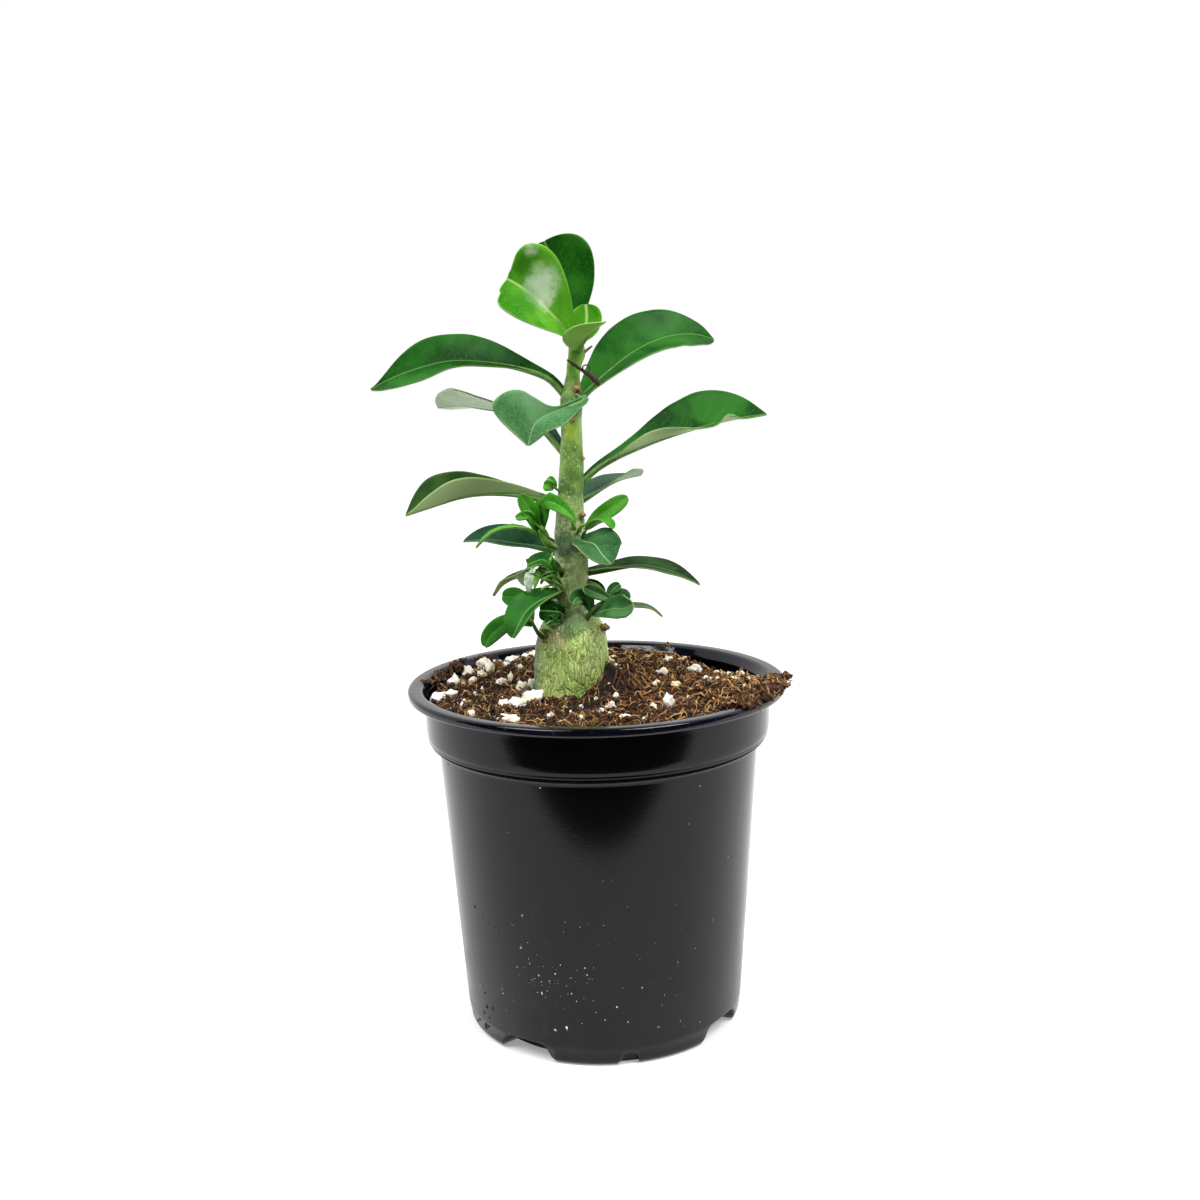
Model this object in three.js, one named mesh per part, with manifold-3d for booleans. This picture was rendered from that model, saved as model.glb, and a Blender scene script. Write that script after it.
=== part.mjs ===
// A potted desert rose: a swollen green stem with obovate leaves and leafy side shoots,
// standing in gritty soil in a black nursery pot. Millimetres, +Z up.
// The origin is on the pot's axis, at the flat underside of its foot.
// The view from the front looks along +Y, with +X to the right.

import * as THREE from 'three';
import { mergeVertices } from 'three/addons/utils/BufferGeometryUtils.js';
import Module from 'manifold-3d';

const wasm = await Module();
wasm.setup();

// Driving dimensions

// The clearance between pieces that touch.
const gap = 0.3;

// Pot: a 4.5 inch trade pot, 114.3 mm across its rolled rim.
const potHeight = 104.7;
const potWall = 1.0;
const rimRadius = 57.15;
const rimInnerRadius = 53.1;
const rimDepth = 2.5;
const bandRadius = 52.0;
const bandFoot = 88.4;
const stepHeight = 86.8;
const bodyTopRadius = 48.5;
const bodyFootRadius = 42.2;
const footRadius = 41.5;
const footCorner = 1.6;
const potSides = 44;

// Drain notches round the foot, wide ones and small ones in turn.
const notchCount = 4;
const wideNotch = { turn: 56, width: 19, height: 4.4, depth: 7 };
const smallNotch = { turn: 11, width: 5.3, height: 3.0, depth: 4 };

// Three small feet under the pot. They come to a point a little below the flat underside.
const feet = { turns: [38, 165, 290], radius: 38.5, width: 4.8, drop: 0.3, root: 0.3 };

// Soil: its level at the stem, and how it rises and falls towards the rim.
const soilLevel = 101.3;
const soilFloor = potWall + gap;
const soilRings = 10;
const soilSectors = 32;
const crumbCount = 44;
const heapCount = 6;
const soilSeed = 17;
// The crumbs and clods sit mostly sunk in the soil.
const crumbSize = { least: 2.2, spread: 3.2 };
const clodSize = { least: 5, spread: 3 };
const clodPlace = { turn: -38, sweep: 44, radius: 45, depth: 8 };

// Stem: centre line and thickness, from the root up to the growing tip.
const stemSides = 14;
const stemLine = [
  { z: 71, x: -8.6, across: 3 },
  { z: 74, x: -8.6, across: 8 },
  { z: 82, x: -8.6, across: 15 },
  { z: 92, x: -8.6, across: 19 },
  { z: 101.5, x: -8.4, across: 20.9 },
  { z: 108, x: -7.6, across: 22.3 },
  { z: 114, x: -7.1, across: 22.1 },
  { z: 118.5, x: -7.0, across: 20.8 },
  { z: 121.7, x: -6.9, across: 18.6 },
  { z: 124.5, x: -7.0, across: 15.2 },
  { z: 127.5, x: -7.2, across: 12.4 },
  { z: 132.5, x: -7.4, across: 11.1 },
  { z: 141.6, x: -6.8, across: 10.2 },
  { z: 149, x: -6.8, across: 9.4 },
  { z: 156.6, x: -6.7, across: 8.2 },
  { z: 167.9, x: -5.8, across: 7.3 },
  { z: 176, x: -5.5, across: 6.6 },
  { z: 183, x: -5.4, across: 6.3 },
  { z: 189.5, x: -5.4, across: 6.4 },
  { z: 193.5, x: -5.0, across: 4.7 },
  { z: 196.5, x: -4.8, across: 4.0 },
  { z: 199.5, x: -4.2, across: 4.4 },
  { z: 202, x: -3.5, across: 5.0 },
  { z: 205, x: -3.4, across: 4.4 },
  { z: 208.5, x: -3.3, across: 3.4 },
];

// How far the stem is out of round, as a share of its radius, and its turn from ring to ring.
const stemBulge = 0.03;
const stemTwist = 0.7;

// Leaves: thickness of a blade and of the midrib under it, at the base and at the tip.
const bladeThickness = 0.6;
const ribThickness = 1.1;
const tipRibThickness = 0.15;
const tipHalfWidth = 0.25;

// Colours
const stemGreen = 0x86a05c;
const leafGreen = 0x2f7a35;
const youngGreen = 0x5fa63a;
const soilBrown = 0x4a3626;
const potBlack = 0x17171a;
const twigBrown = 0x3a2722;

function material(name, color, roughness) {
  const finish = new THREE.MeshStandardMaterial({ color, roughness, metalness: 0 });
  finish.name = name;
  return finish;
}

const finishes = {
  leaf: material('leaf', leafGreen, 0.4),
  young: material('young leaf', youngGreen, 0.4),
  stem: material('stem', stemGreen, 0.6),
  soil: material('soil', soilBrown, 0.95),
  pot: material('pot', potBlack, 0.45),
  twig: material('twig', twigBrown, 0.8),
};

// Solids

function solidOf(geometry) {
  const bare = geometry.clone();
  bare.deleteAttribute('normal');
  bare.deleteAttribute('uv');
  const merged = mergeVertices(bare, 1e-4);
  return new wasm.Manifold(new wasm.Mesh({
    numProp: 3,
    vertProperties: new Float32Array(merged.attributes.position.array),
    triVerts: new Uint32Array(merged.index.array),
  }));
}

function geometryOf(solid) {
  const mesh = solid.getMesh();
  const geometry = new THREE.BufferGeometry();
  geometry.setAttribute('position', new THREE.BufferAttribute(mesh.vertProperties, 3));
  geometry.setIndex(new THREE.BufferAttribute(mesh.triVerts, 1));
  return geometry;
}

function joined(solids) {
  return solids.reduce((whole, piece) => whole.add(piece));
}

// A cut can leave scraps beside the piece that is wanted: the largest is kept.
function largestOf(solid) {
  const pieces = solid.decompose();
  return pieces.reduce((best, piece) => (piece.volume() > best.volume() ? piece : best));
}

// A small repeatable random number source.
function randomFrom(seed) {
  let state = seed;
  return () => {
    state = (state * 16807) % 2147483647;
    return state / 2147483647;
  };
}

const toRadians = THREE.MathUtils.degToRad;

function vector(p) {
  return new THREE.Vector3(p[0], p[1], p[2]);
}

// A solid skinned over closed rings of points, every ring with the same number of points.
function skin(rings) {
  const count = rings[0].length;
  const points = rings.flat();
  const faces = [];
  for (let r = 0; r < rings.length - 1; r += 1) {
    for (let k = 0; k < count; k += 1) {
      const next = (k + 1) % count;
      const a = r * count + k;
      const b = r * count + next;
      faces.push(a, b, b + count, a, b + count, a + count);
    }
  }
  for (const [ring, flip] of [[0, true], [rings.length - 1, false]]) {
    const centre = rings[ring].reduce((sum, p) => sum.add(p), new THREE.Vector3());
    points.push(centre.divideScalar(count));
    const middle = points.length - 1;
    for (let k = 0; k < count; k += 1) {
      const a = ring * count + k;
      const b = ring * count + (k + 1) % count;
      faces.push(...(flip ? [middle, b, a] : [middle, a, b]));
    }
  }
  const geometry = new THREE.BufferGeometry();
  geometry.setAttribute('position',
    new THREE.Float32BufferAttribute(points.flatMap((p) => [p.x, p.y, p.z]), 3));
  geometry.setIndex(faces);
  return solidOf(geometry);
}

// A round bar along a curve through the given points, with its radius at each end.
function bar(points, startRadius, endRadius, sides, steps) {
  const line = new THREE.CatmullRomCurve3(points.map(vector));
  const side = new THREE.Vector3();
  const across = new THREE.Vector3();
  const rings = [];
  for (let i = 0; i <= steps; i += 1) {
    const u = i / steps;
    const centre = line.getPoint(u);
    const along = line.getTangent(u);
    const guide = Math.abs(along.z) > 0.8 ? new THREE.Vector3(0, 1, 0) : new THREE.Vector3(0, 0, 1);
    side.crossVectors(guide, along).normalize();
    across.crossVectors(along, side);
    const radius = startRadius + (endRadius - startRadius) * u;
    const ring = [];
    for (let k = 0; k < sides; k += 1) {
      const angle = (2 * Math.PI * k) / sides;
      ring.push(centre.clone()
        .addScaledVector(side, radius * Math.cos(angle))
        .addScaledVector(across, radius * Math.sin(angle)));
    }
    rings.push(ring);
  }
  return skin(rings);
}

// A rough lump with 20 faces, pulled unevenly out of round.
function lump(centre, size, random) {
  const geometry = new THREE.IcosahedronGeometry(size / 2, 0);
  const solid = mergeVertices(geometry.deleteAttribute('normal').deleteAttribute('uv'), 1e-4);
  const position = solid.attributes.position;
  for (let i = 0; i < position.count; i += 1) {
    const stretch = 0.75 + 0.5 * random();
    position.setXYZ(i, position.getX(i) * stretch, position.getY(i) * stretch,
      position.getZ(i) * stretch * 0.85);
  }
  solid.rotateZ(random() * Math.PI);
  solid.translate(centre[0], centre[1], centre[2]);
  return solidOf(solid);
}

// Leaves

// Half the width of a blade, from 0 at the base to 1 at the widest place and 0 at the tip.
// A larger neck keeps it slim for longer, and a larger point makes the tip sharper.
function bladeShape(u, neck, point) {
  const widest = neck / (neck + point);
  return (u / widest) ** neck * ((1 - u) / (1 - widest)) ** point;
}

// One leaf blade with its stalk.
// rib: the points of the midrib from the base to the tip.
// face: which way the upper side looks, at the base, and on to the tip.
// half: the widths left and right of the midrib, seen from the base with the upper side up.
// neck, point: the shape of the left and right halves' outlines.
// fold: how far the left and right halves are folded up from flat, in degrees.
// curl: how much further their edges turn up.
// sweep: how far the shoulders run forward past the midrib, as a share of the width.
// wave: the height of the waves along the edge.
function blade({
  rib, face, half, neck = [1, 1], point = [0.55, 0.55], fold = [12, 12], curl = [8, 8],
  sweep = 0.12, wave = 0, waves = 2.5, stalk = 0.9, rows = 12, columns = 6,
}) {
  const line = new THREE.CatmullRomCurve3(rib.map(vector));
  const faces = face.map(vector);
  const upper = [];
  const lower = [];
  for (let i = 0; i <= rows; i += 1) {
    const u = Math.sin((Math.PI / 2) * (i / rows));
    const centre = line.getPointAt(u);
    const along = line.getTangentAt(u);
    const turn = u * (faces.length - 1);
    const before = Math.min(Math.floor(turn), faces.length - 2);
    const up = faces[before].clone().lerp(faces[before + 1], turn - before);
    up.addScaledVector(along, -up.dot(along)).normalize();
    const left = up.clone().cross(along);
    const stalkHalf = stalk * (1 - u) + tipHalfWidth;
    const shapes = [0, 1].map((hand) => (i < rows ? bladeShape(u, neck[hand], point[hand]) : 0));
    for (let j = 0; j <= columns; j += 1) {
      const v = 1 - (2 * j) / columns;
      const hand = v >= 0 ? 0 : 1;
      const sign = Math.sign(v);
      const reach = Math.abs(v);
      const width = stalkHalf + half[hand] * shapes[hand];
      const bend = toRadians(fold[hand] + curl[hand] * reach * 0.5);
      const lean = toRadians(fold[hand] + curl[hand] * reach);
      const rise = width * reach * Math.sin(bend)
        + wave * shapes[hand] * reach ** 2 * Math.sin(2 * Math.PI * waves * u + hand * 2);
      const place = centre.clone()
        .addScaledVector(left, sign * width * reach * Math.cos(bend))
        .addScaledVector(up, rise)
        .addScaledVector(along, sweep * width * reach ** 2);
      const outward = up.clone().multiplyScalar(Math.cos(lean))
        .addScaledVector(left, -sign * Math.sin(lean));
      const ribShare = j === columns / 2
        ? ribThickness * stalk * (1 - u) ** 1.5 + tipRibThickness : 0;
      upper.push(place);
      lower.push(place.clone().addScaledVector(outward, -(bladeThickness + ribShare)));
    }
  }
  const across = columns + 1;
  const total = upper.length;
  const triangles = [];
  const quad = (a, b, c, d) => triangles.push(a, b, c, a, c, d);
  for (let i = 0; i < rows; i += 1) {
    for (let j = 0; j < columns; j += 1) {
      const a = i * across + j;
      const b = a + across;
      if (j < columns / 2) {
        triangles.push(a, a + 1, b, a + 1, b + 1, b);
        triangles.push(a + total, b + total, a + 1 + total, a + 1 + total, b + total, b + 1 + total);
      } else {
        triangles.push(a, a + 1, b + 1, a, b + 1, b);
        triangles.push(a + total, b + 1 + total, a + 1 + total, a + total, b + total, b + 1 + total);
      }
    }
    const a = i * across;
    const b = a + across;
    quad(a, b, b + total, a + total);
    quad(b + columns, a + columns, a + columns + total, b + columns + total);
  }
  for (let j = 0; j < columns; j += 1) {
    const end = rows * across + j;
    quad(j + 1, j, j + total, j + 1 + total);
    quad(end, end + 1, end + 1 + total, end + total);
  }
  const geometry = new THREE.BufferGeometry();
  geometry.setAttribute('position', new THREE.Float32BufferAttribute(
    [...upper, ...lower].flatMap((p) => [p.x, p.y, p.z]), 3));
  geometry.setIndex(triangles);
  return solidOf(geometry);
}

const smallLeaf = { rows: 7, columns: 4, stalk: 0.6 };
const tinyLeaf = { rows: 5, columns: 2, stalk: 0.45 };

// The large leaves, from the growing tip down.
const leaves = {
  leaf_apex_front: {
    rib: [[-4.5, -0.2, 206.5], [-7.5, -2.5, 210.8], [-12.5, -7, 216.5], [-17.5, -10.5, 221],
      [-22, -12.5, 224]],
    face: [[0.45, -0.75, 0.5], [0.35, -0.9, 0.2]],
    half: [10.5, 12],
    point: [0.5, 0.5],
    fold: [14, 18],
    curl: [20, 20],
    sweep: 0.38,
  },
  leaf_apex_back: {
    rib: [[-3.8, 1.4, 206], [-5, 5.8, 212], [-6.8, 7.4, 221], [-9.2, 7.6, 228.5], [-12, 6.6, 235]],
    face: [[0, -1, 0.2], [0.1, -1, 0.1]],
    half: [9, 10],
    neck: [1.2, 1.5],
    point: [0.5, 0.6],
    sweep: 0.18,
  },
  leaf_apex_right: {
    ...smallLeaf,
    rib: [[-2.2, 0.2, 206], [-0.6, 0.8, 210], [-0.2, 1, 213], [-0.3, 1.2, 216.5]],
    face: [[-0.3, -1, 0.2], [0, -1, 0.2]],
    half: [4.2, 4.2],
    neck: [0.8, 0.8],
  },
  leaf_apex_small: {
    ...smallLeaf,
    rib: [[-3.2, -1.5, 201.8], [-1, -6.4, 205.4], [2, -10.5, 208.9], [5, -14, 211.4]],
    face: [[-0.3, 0.35, 0.88], [-0.3, 0.35, 0.88]],
    half: [2.5, 9],
    neck: [0.8, 0.7],
    point: [0.8, 1.3],
    fold: [20, 20],
  },
  leaf_upper_left: {
    rib: [[-6.5, 0, 190.5], [-11, 0.5, 195.5], [-18, 1, 198.5], [-28, 3, 200.5], [-40.5, 5, 201.3],
      [-52, 5, 199.5], [-59, 4, 197.6], [-64.5, 3, 194]],
    face: [[0.3, -0.64, 0.77], [0, -0.64, 0.77], [0, -0.8, 0.6]],
    half: [8, 8.3],
    neck: [2.8, 2.9],
    point: [0.9, 1.9],
    fold: [20, 20],
    sweep: 0.04,
    wave: 0.5,
  },
  leaf_upper_right: {
    rib: [[-4, 0.5, 189], [3, 5, 195], [14.5, 14, 203], [24, 20, 206.5], [38.5, 27, 206]],
    face: [[-0.5, -0.6, 0.6], [-0.3, -0.7, 0.6], [0, -0.8, 0.6]],
    half: [10.3, 8.6],
    neck: [1.7, 0.9],
    point: [1.3, 1.6],
    fold: [15, 15],
  },
  leaf_mid_right: {
    rib: [[-4, 0, 164.5], [3, 3, 170], [18, 9, 175.5], [29.5, 13, 178.5], [45, 17, 181.5],
      [54, 18, 182.5]],
    face: [[-0.3, -0.6, 0.7], [0, -0.6, 0.8], [0, -0.6, 0.8]],
    half: [11.6, 3.2],
    neck: [3.2, 2.4],
    point: [1.1, 0.7],
    fold: [12, 20],
    curl: [8, 15],
    sweep: 0.06,
  },
  leaf_mid_left: {
    rib: [[-7, 0, 158], [-12.5, -2, 160.3], [-22.5, -3, 162.5], [-36, -5, 162.5], [-47.5, -8, 159.5],
      [-54.5, -9, 157.5]],
    face: [[0, 0, 1], [0, 0, 1]],
    half: [5.4, 8],
    neck: [3, 3.3],
    point: [1.6, 1.2],
    fold: [60, 60],
    curl: [15, 15],
  },
  leaf_back_left: {
    rib: [[-6, 1, 172], [-15, 8, 181.5], [-23, 16, 185], [-31, 22, 186], [-40.5, 27, 187],
      [-47.5, 30, 186.5]],
    face: [[0.3, -0.2, 0.9], [0, 0.2, 0.95], [0, 0.5, 0.85]],
    half: [9, 9],
    neck: [1.4, 1.4],
  },
  leaf_front: {
    rib: [[-3.5, -1.5, 191], [-1.6, -4, 189.6], [-5.8, -8, 187.9], [-11.4, -15, 186.2],
      [-14.2, -18.5, 184.8], [-15.9, -21, 182.9], [-17.4, -23.5, 178.1]],
    face: [[0.45, -0.6, 0.65], [0.3, -0.75, 0.55], [0.2, -0.95, 0.3]],
    half: [5.5, 14.5],
    neck: [2, 7.5],
    point: [0.9, 0.9],
    fold: [20, 26],
    sweep: -0.15,
  },
  leaf_back_right: {
    rib: [[-5, 1, 159], [1, 7, 161.5], [7.5, 12, 164], [15, 17, 165]],
    face: [[-0.3, -0.3, 0.9], [0, 0.3, 0.95]],
    half: [7, 7],
    neck: [0.8, 0.8],
  },
  leaf_low_left: {
    rib: [[-8, 2, 142.5], [-14, 3.5, 145], [-23.5, 5, 146.5], [-32, 7, 147.5], [-39.5, 8, 147]],
    face: [[0, -0.3, 0.95], [0, -0.3, 0.95]],
    half: [6, 6.5],
    neck: [1.2, 1.2],
    point: [0.9, 0.9],
    fold: [15, 20],
  },
  leaf_low_right: {
    rib: [[-5, 0, 138], [2, -1, 139], [14.5, -3, 140.2], [24, -4, 138], [31.5, -4, 134]],
    face: [[0, -0.2, 0.95], [0, -0.2, 0.95]],
    half: [6, 6],
    neck: [1.3, 1.3],
    point: [0.9, 0.9],
    fold: [0, 10],
  },
  leaf_fold_right: {
    rib: [[-4.5, -3, 148.3], [-2.5, -5.5, 148], [0.5, -9, 147.5], [2.5, -12, 145], [5, -14, 142.5]],
    face: [[0.2, -0.5, 0.8], [0.4, -0.6, 0.6]],
    half: [6.5, 7],
    neck: [0.9, 0.9],
    point: [0.7, 0.7],
    fold: [25, 10],
  },
  leaf_thin_upper: {
    ...smallLeaf,
    rib: [[-5, 0, 136.5], [-1.5, 0, 134.5], [1, -1, 133.5], [3, -2, 131.5]],
    face: [[0, 0, 1], [0.3, 0, 1]],
    half: [1.2, 1.2],
    fold: [40, 40],
  },
  leaf_thin_lower: {
    ...smallLeaf,
    rib: [[-4.5, 4, 122], [1, 8, 125.5], [6, 11, 126.5], [11.5, 13, 125], [17, 14, 124], [21, 14, 121]],
    face: [[0, 0, 1], [0.5, 0, 0.8]],
    half: [3, 3],
    fold: [0, 0],
  },
  leaf_thin_left: {
    ...smallLeaf,
    rib: [[-11.5, 0, 134.5], [-16.5, 3, 137], [-22, 5, 136.5], [-27.5, 7, 134], [-31, 8, 130]],
    face: [[0, 0, 1], [-0.5, 0, 0.8]],
    half: [2.5, 2.5],
    fold: [20, 20],
  },
  leaf_drooping_left: {
    rib: [[-9.5, -3.6, 133], [-12.5, -7.5, 132.6], [-16.5, -11, 131.3], [-20, -14, 129],
      [-22.5, -17, 125], [-24, -18, 122]],
    face: [[0.1, -0.4, 0.9], [-0.2, -0.8, 0.5]],
    half: [3.5, 6.5],
    fold: [35, 10],
    neck: [1, 1],
    point: [0.9, 0.6],
  },
};

// Leafy side shoots: a short green twig and the leaves that grow from it.
const shoots = {
  shoot_axil: {
    twig: { points: [[-8, -1, 162], [-10, -2.5, 163], [-11.5, -3.5, 164.2]], start: 0.8, end: 0.5 },
    leaves: [
      {
        ...tinyLeaf,
        rib: [[-11, -3, 163.5], [-11.5, -3.5, 165.2], [-12.5, -3.5, 167]],
        face: [[0, -1, 0.2], [0, -1, 0.2]],
        half: [0.8, 0.8],
      },
      {
        ...tinyLeaf,
        rib: [[-11, -3, 163.5], [-12.5, -4, 164.5], [-14, -4.5, 165]],
        face: [[0, -1, 0], [0, -1, 0]],
        half: [1.4, 1.4],
      },
    ],
  },
  shoot_upper_left: {
    twig: { points: [[-8, -2, 144.5], [-13, -3, 147.3], [-16, -3.2, 151.5]], start: 1.4, end: 1.1 },
    leaves: [
      {
        rib: [[-16, -3, 150.5], [-18, -4, 156.5], [-21, -5, 162]],
        face: [[0.3, -1, 0.1], [0.3, -1, 0.1]],
        half: [2.1, 2.1],
      },
      {
        ...tinyLeaf,
        rib: [[-17, -3, 153], [-19, -5, 156], [-22.5, -6, 155.5]],
        face: [[0.3, -1, 0.1], [0.3, -1, 0.1]],
        half: [0.9, 0.9],
      },
      {
        rib: [[-15.5, -3, 150.5], [-15.5, -3, 156], [-14.5, -4.5, 160], [-10.5, -8, 159.5],
          [-7, -9, 157], [-5, -9, 154.5]],
        face: [[0, -1, 0], [0, -1, 0.6], [0, -1, 0.6]],
        half: [2.2, 2.2],
        neck: [0.6, 0.6],
        point: [0.8, 0.8],
        rows: 9,
      },
      {
        ...tinyLeaf,
        rib: [[-16, -3, 150], [-20, -5, 152.5], [-24.5, -6, 153], [-30, -8, 151.5], [-34.5, -9, 147.5]],
        face: [[0, 0, 1], [-0.5, 0, 0.8]],
        half: [1.4, 1.4],
        rows: 8,
      },
    ],
  },
  shoot_upper_right: {
    twig: { points: [[-5, 1, 148.5], [-3, 1, 150], [-1.5, 1, 151.5]], start: 1.2, end: 0.8 },
    leaves: [
      {
        rib: [[-2, 1, 151], [1.5, 1.5, 154], [6, 1, 157], [10.5, 0, 160]],
        face: [[-0.3, -1, 0.3], [-0.3, -1, 0.3]],
        half: [2.2, 2.2],
      },
      {
        rib: [[-2, 0.5, 151], [1.5, -3, 153.6], [4.5, -6, 153.6], [6, -7.5, 152]],
        face: [[0, 0, 1], [0.3, -0.3, 0.8]],
        half: [1.8, 1.8],
      },
    ],
  },
  shoot_middle_left: {
    twig: { points: [[-9, -1.5, 135], [-11.5, -3, 137], [-12.5, -4, 139]], start: 1.1, end: 0.8 },
    leaves: [
      {
        rib: [[-12, -4, 138], [-14, -4.5, 141], [-17.5, -5, 142], [-20.5, -4.5, 140],
          [-20.5, -3.5, 136.5], [-20, -2.5, 134.5]],
        face: [[0, -0.3, 1], [-0.8, 0, 0.8], [-1, -0.5, 0]],
        half: [2.4, 2.4],
        rows: 8,
      },
      {
        ...tinyLeaf,
        rib: [[-12, -4, 138], [-14.5, -2.5, 140], [-17, -2.5, 139], [-17.5, -2.5, 136.5],
          [-17.5, -1.5, 135]],
        face: [[0, 0, 1], [-1, 0, 0]],
        half: [1, 1],
        rows: 7,
      },
      {
        ...tinyLeaf,
        rib: [[-12, -4, 138], [-14.5, -4.5, 137.5], [-16, -4, 135.5]],
        face: [[0, 0, 1], [-1, 0, 0.3]],
        half: [1.2, 1.2],
      },
      {
        rib: [[-12, -4, 138], [-12.8, -4.8, 141], [-15, -5.2, 142.8], [-19.5, -6, 141.5]],
        face: [[0, -0.5, 1], [-0.5, -0.8, 0.5]],
        half: [2, 2],
      },
    ],
  },
  shoot_low_left: {
    twig: { points: [[-12, -3, 117], [-16.5, -6, 120], [-19, -9, 125.5]], start: 1.2, end: 0.8 },
    leaves: [
      {
        rib: [[-19, -8, 125], [-21, -2, 128], [-24.5, 1, 130.5], [-28, 3, 130.5]],
        face: [[-0.3, -0.6, 1], [-0.3, -0.9, 0.3]],
        half: [2.8, 2.8],
      },
      {
        rib: [[-18.5, -8, 124], [-22.5, -7, 125], [-27, -8, 124], [-31, -9, 121], [-33, -10, 118]],
        face: [[0, -0.8, 0.6], [-0.3, -0.9, 0.3]],
        half: [2.5, 2.5],
      },
    ],
  },
  shoot_low_front: {
    twig: { points: [[-10, -6, 123], [-10, -8, 125], [-9.5, -8.2, 126.8]], start: 1.0, end: 0.8 },
    leaves: [
      {
        rib: [[-9.5, -7.5, 126.5], [-10.5, -8.5, 127.5], [-13.5, -8.2, 127.8], [-16.4, -7, 127.8]],
        face: [[0, -1, 0.4], [0, -1, 0.4]],
        half: [2.8, 2.8],
      },
      {
        ...tinyLeaf,
        rib: [[-10, -8, 124.8], [-12.5, -10, 125.5], [-14.5, -11, 124.5]],
        face: [[0, -1, 0.4], [0, -1, 0.4]],
        half: [1, 1],
      },
    ],
  },
  shoot_low_right: {
    twig: {
      points: [[-3, -5, 124], [-0.5, -7, 127.5], [3.5, -8.5, 130.5], [5, -9, 131.5]],
      start: 1.3,
      end: 0.8,
    },
    leaves: [
      {
        rib: [[-1, -7, 127.5], [-2.5, -8, 131], [-5, -10, 132], [-6.5, -12, 130.5]],
        face: [[0, -1, 0.4], [0, -1, 0.4]],
        half: [2, 2],
      },
      {
        ...tinyLeaf,
        rib: [[4.5, -9, 131], [1.5, -9, 132.5], [-1.5, -10, 134], [-3, -11, 135]],
        face: [[0, -1, 0.4], [0, -1, 0.4]],
        half: [1.6, 1.6],
      },
      {
        ...tinyLeaf,
        rib: [[4.5, -9, 131], [5, -9, 133.5], [7.5, -9, 135.5]],
        face: [[-0.5, -1, 0.3], [-0.5, -1, 0.3]],
        half: [1.2, 1.2],
      },
      {
        ...tinyLeaf,
        rib: [[4.5, -9, 130.5], [7.5, -10, 132.5], [10, -12, 131.5]],
        face: [[0, -1, 0.6], [0, -1, 0.6]],
        half: [1.5, 1.5],
      },
      {
        rib: [[-1, -7, 126.5], [1.5, -9, 127.5], [5, -13, 129], [8.5, -16, 129.5], [11, -18, 131]],
        face: [[0, -0.7, 0.7], [0, -0.9, 0.4]],
        half: [3.8, 3.2],
        rows: 8,
      },
    ],
  },
};

// Scars and dried stubs left on the stem by fallen leaves and shoots.
const scars = [
  { at: [-3.4, -2.4, 192.3], size: 2.2 },
  { at: [-9.4, -4.2, 139.5], size: 2.0 },
  { at: [-2.8, -1.2, 155.5], size: 1.8 },
  { at: [-2.6, -0.5, 172], size: 1.5 },
  { at: [3.2, -3.0, 121.5], size: 3.2 },
  { at: [-14.2, -5.5, 118.5], size: 3.0 },
  { at: [-5.4, -3.4, 183.5], size: 1.2 },
];
const spur = { points: [[-3.2, 0, 201.5], [-1, -0.5, 203], [1, -1, 204.5]], start: 0.45, end: 0.35 };
const scarSeed = 5;
// A lump is pulled in as far as 0.64 of its size, so it grows by twice the clearance over 0.64.
const scarGrowth = 3.2;

// A dried flower stalk that lies against the front of the stem.
const dryTwig = {
  points: [[-6.2, -2.2, 200.8], [-4.2, -3.5, 199.4], [-1.2, -3.5, 197.3], [1.2, -3.3, 195.6],
    [3, -3, 193.4]],
  start: 0.45,
  end: 0.8,
};

// The stem, with its scars, made larger all round by extra.
function stemSolid(extra) {
  const rings = stemLine.map(({ z, x, across }, level) => {
    const ring = [];
    for (let k = 0; k < stemSides; k += 1) {
      const angle = (2 * Math.PI * k) / stemSides;
      const bulge = 1 + stemBulge * Math.sin(3 * angle + level * stemTwist);
      const radius = (across / 2) * bulge + extra;
      ring.push(new THREE.Vector3(x + radius * Math.cos(angle), radius * Math.sin(angle), z));
    }
    return ring;
  });
  rings[0].forEach((point) => point.setZ(point.z - extra));
  rings[rings.length - 1].forEach((point) => point.setZ(point.z + extra));
  const random = randomFrom(scarSeed);
  const pieces = [skin(rings)];
  scars.forEach(({ at, size }) => pieces.push(lump(at, size + scarGrowth * extra, random)));
  pieces.push(bar(spur.points, spur.start + extra, spur.end + extra, 5, 3));
  return joined(pieces);
}

const stem = stemSolid(0);
const stemClearance = stemSolid(gap);

function shoot({ twig, leaves: grown }) {
  const pieces = [bar(twig.points, twig.start, twig.end, 6, 5)];
  grown.forEach((leaf) => pieces.push(blade({ ...smallLeaf, ...leaf })));
  return joined(pieces);
}

// Pot

// The cross-section, from the middle of the underside, up the outside and down the inside:
// radius, height, and which way the point moves outwards and upwards when the pot is grown.
const potSection = [
  [0, 0, 0, -1],
  [footRadius, 0, 1, -1],
  [bodyFootRadius, footCorner, 1, -1],
  [bodyTopRadius, stepHeight, 1, -1],
  [bandRadius - 1.2, bandFoot - 0.9, 1, -1],
  [bandRadius, bandFoot, 1, -1],
  [bandRadius + 0.2, potHeight - rimDepth, 1, -1],
  [rimRadius, potHeight - rimDepth, 1, -1],
  [rimRadius, potHeight - 0.6, 1, 1],
  [rimRadius - 0.6, potHeight, 1, 1],
  [rimInnerRadius + 0.2, potHeight, -1, 1],
  [rimInnerRadius - 0.9, potHeight - 0.5, -1, 1],
  [bandRadius - potWall, potHeight - 2.2, -1, 1],
  [bandRadius - potWall, bandFoot + 0.4, -1, 1],
  [bodyTopRadius - potWall, stepHeight + 0.2, -1, 1],
  [bodyFootRadius - potWall, potWall, -1, 1],
  [0, potWall, 0, 1],
];

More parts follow.
